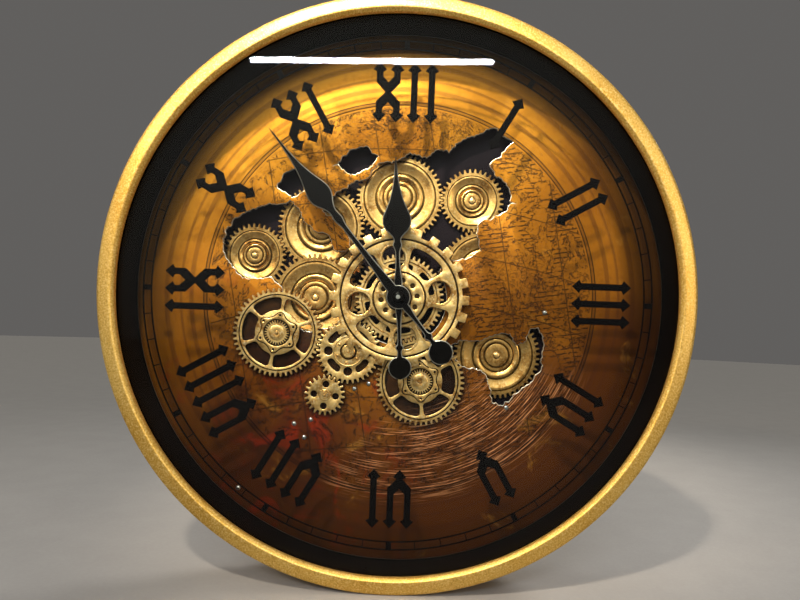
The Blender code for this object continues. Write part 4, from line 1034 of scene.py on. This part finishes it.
def area_light(name, at, aim, width, height, energy, spread, colour, along=None):
    """A rectangular lamp that looks at a point. Its width may follow a direction."""
    data = bpy.data.lights.new(name, "AREA")
    data.shape = "RECTANGLE"
    data.size = width
    data.size_y = height
    data.energy = energy
    data.color = linear(colour)[:3]
    data.spread = math.radians(spread)
    lamp = new_object(name, data)
    away = (at - aim).normalized()
    side = along.normalized() if along else Vector((0, 0, 1)).cross(away).normalized()
    side = (side - away * side.dot(away)).normalized()
    lamp.matrix_world = Matrix.Translation(at) @ Matrix((side, away.cross(side), away)).transposed().to_4x4()


def make_lamps(camera):
    upper, middle = face_point(-20.0, 110.0, DIAL_FRONT), face_point(0.0, 0.0, DIAL_FRONT)
    # Aim, direction, distance, width and height in metres, watts, spread and colour. They stand at a slant, so
    # that the glass mirrors none of them to the front
    lamps = (("key", upper, (-0.3, -1.0, 1.0), 1.5, 0.09, 0.05, 1.0, 25, "#FFF0DA"),
             ("side", upper, (-0.8, -1.0, 0.6), 1.6, 0.3, 0.1, 0.25, 28, "#FFE6C4"),
             ("right", middle, (0.85, -1.0, 0.4), 1.6, 0.3, 0.2, 0.08, 27, "#FFF4E4"),
             ("low", middle, (0.95, -1.0, 0.14), 1.8, 0.4, 0.2, 0.1, 26, "#FFEBD2"),
             ("behind", middle, (0.7, 1.0, 0.7), 2.0, 0.8, 0.5, 3.0, 60, "#FFFAF2"))
    for name, aim, way, distance, width, height, energy, spread, colour in lamps:
        area_light(name, aim + distance * Vector(way).normalized(), aim, width, height, energy, spread, colour)
    left, right = (seen_in_glass(camera, x, y, TUBE_AWAY) for x, y in TUBE_ENDS)
    area_light("tube", (left + right) / 2, middle, (right - left).length, TUBE_WIDTH, 5.5, 120, "#F4F8FF",
               along=right - left)


def make_backdrop():
    """An even backdrop, and a large soft light above and in front."""
    world = bpy.data.worlds.new("studio")
    world.use_nodes = True
    world.node_tree.nodes.clear()
    add = partial(add_node, world.node_tree)
    way = add("TexCoord", out="Generated")
    rise = add("VectorMath DOT_PRODUCT", [way, (-0.3, -0.45, 0.9)], "Value")
    glow = add("MapRange", [rise, 0.15, 1.0], interpolation_type="SMOOTHERSTEP")
    shade = add("MixRGB", [glow, linear("#6C6A68"), linear("#FFFCF4")])
    add("OutputWorld", {"Surface": add("Background", {"Color": shade, "Strength": 0.8})})
    bpy.context.scene.world = world
    bpy.context.scene.view_settings.view_transform = "Standard"


def make_floor():
    # Sprayed floor paint: pale, even and matt, with a grain of 3 mm
    bm = bmesh.new()
    bmesh.ops.create_circle(bm, cap_ends=True, segments=96, radius=6.0)
    bmesh.ops.translate(bm, verts=bm.verts, vec=(0.0, 0.0, cad_low.z))
    mesh = bpy.data.meshes.new("floor")
    bm.to_mesh(mesh)
    bm.free()
    mesh.materials.append(grained("pale_floor_paint", "#9C9996", "#999693", 0.8, 0.0, 3.0, 0.05))
    floor = new_object("floor", mesh)


make_case()
make_numerals()
make_minute_track()
make_dial()
make_gears()
make_hands()
dress_nodes()
make_lamps(make_camera())
make_backdrop()
make_floor()
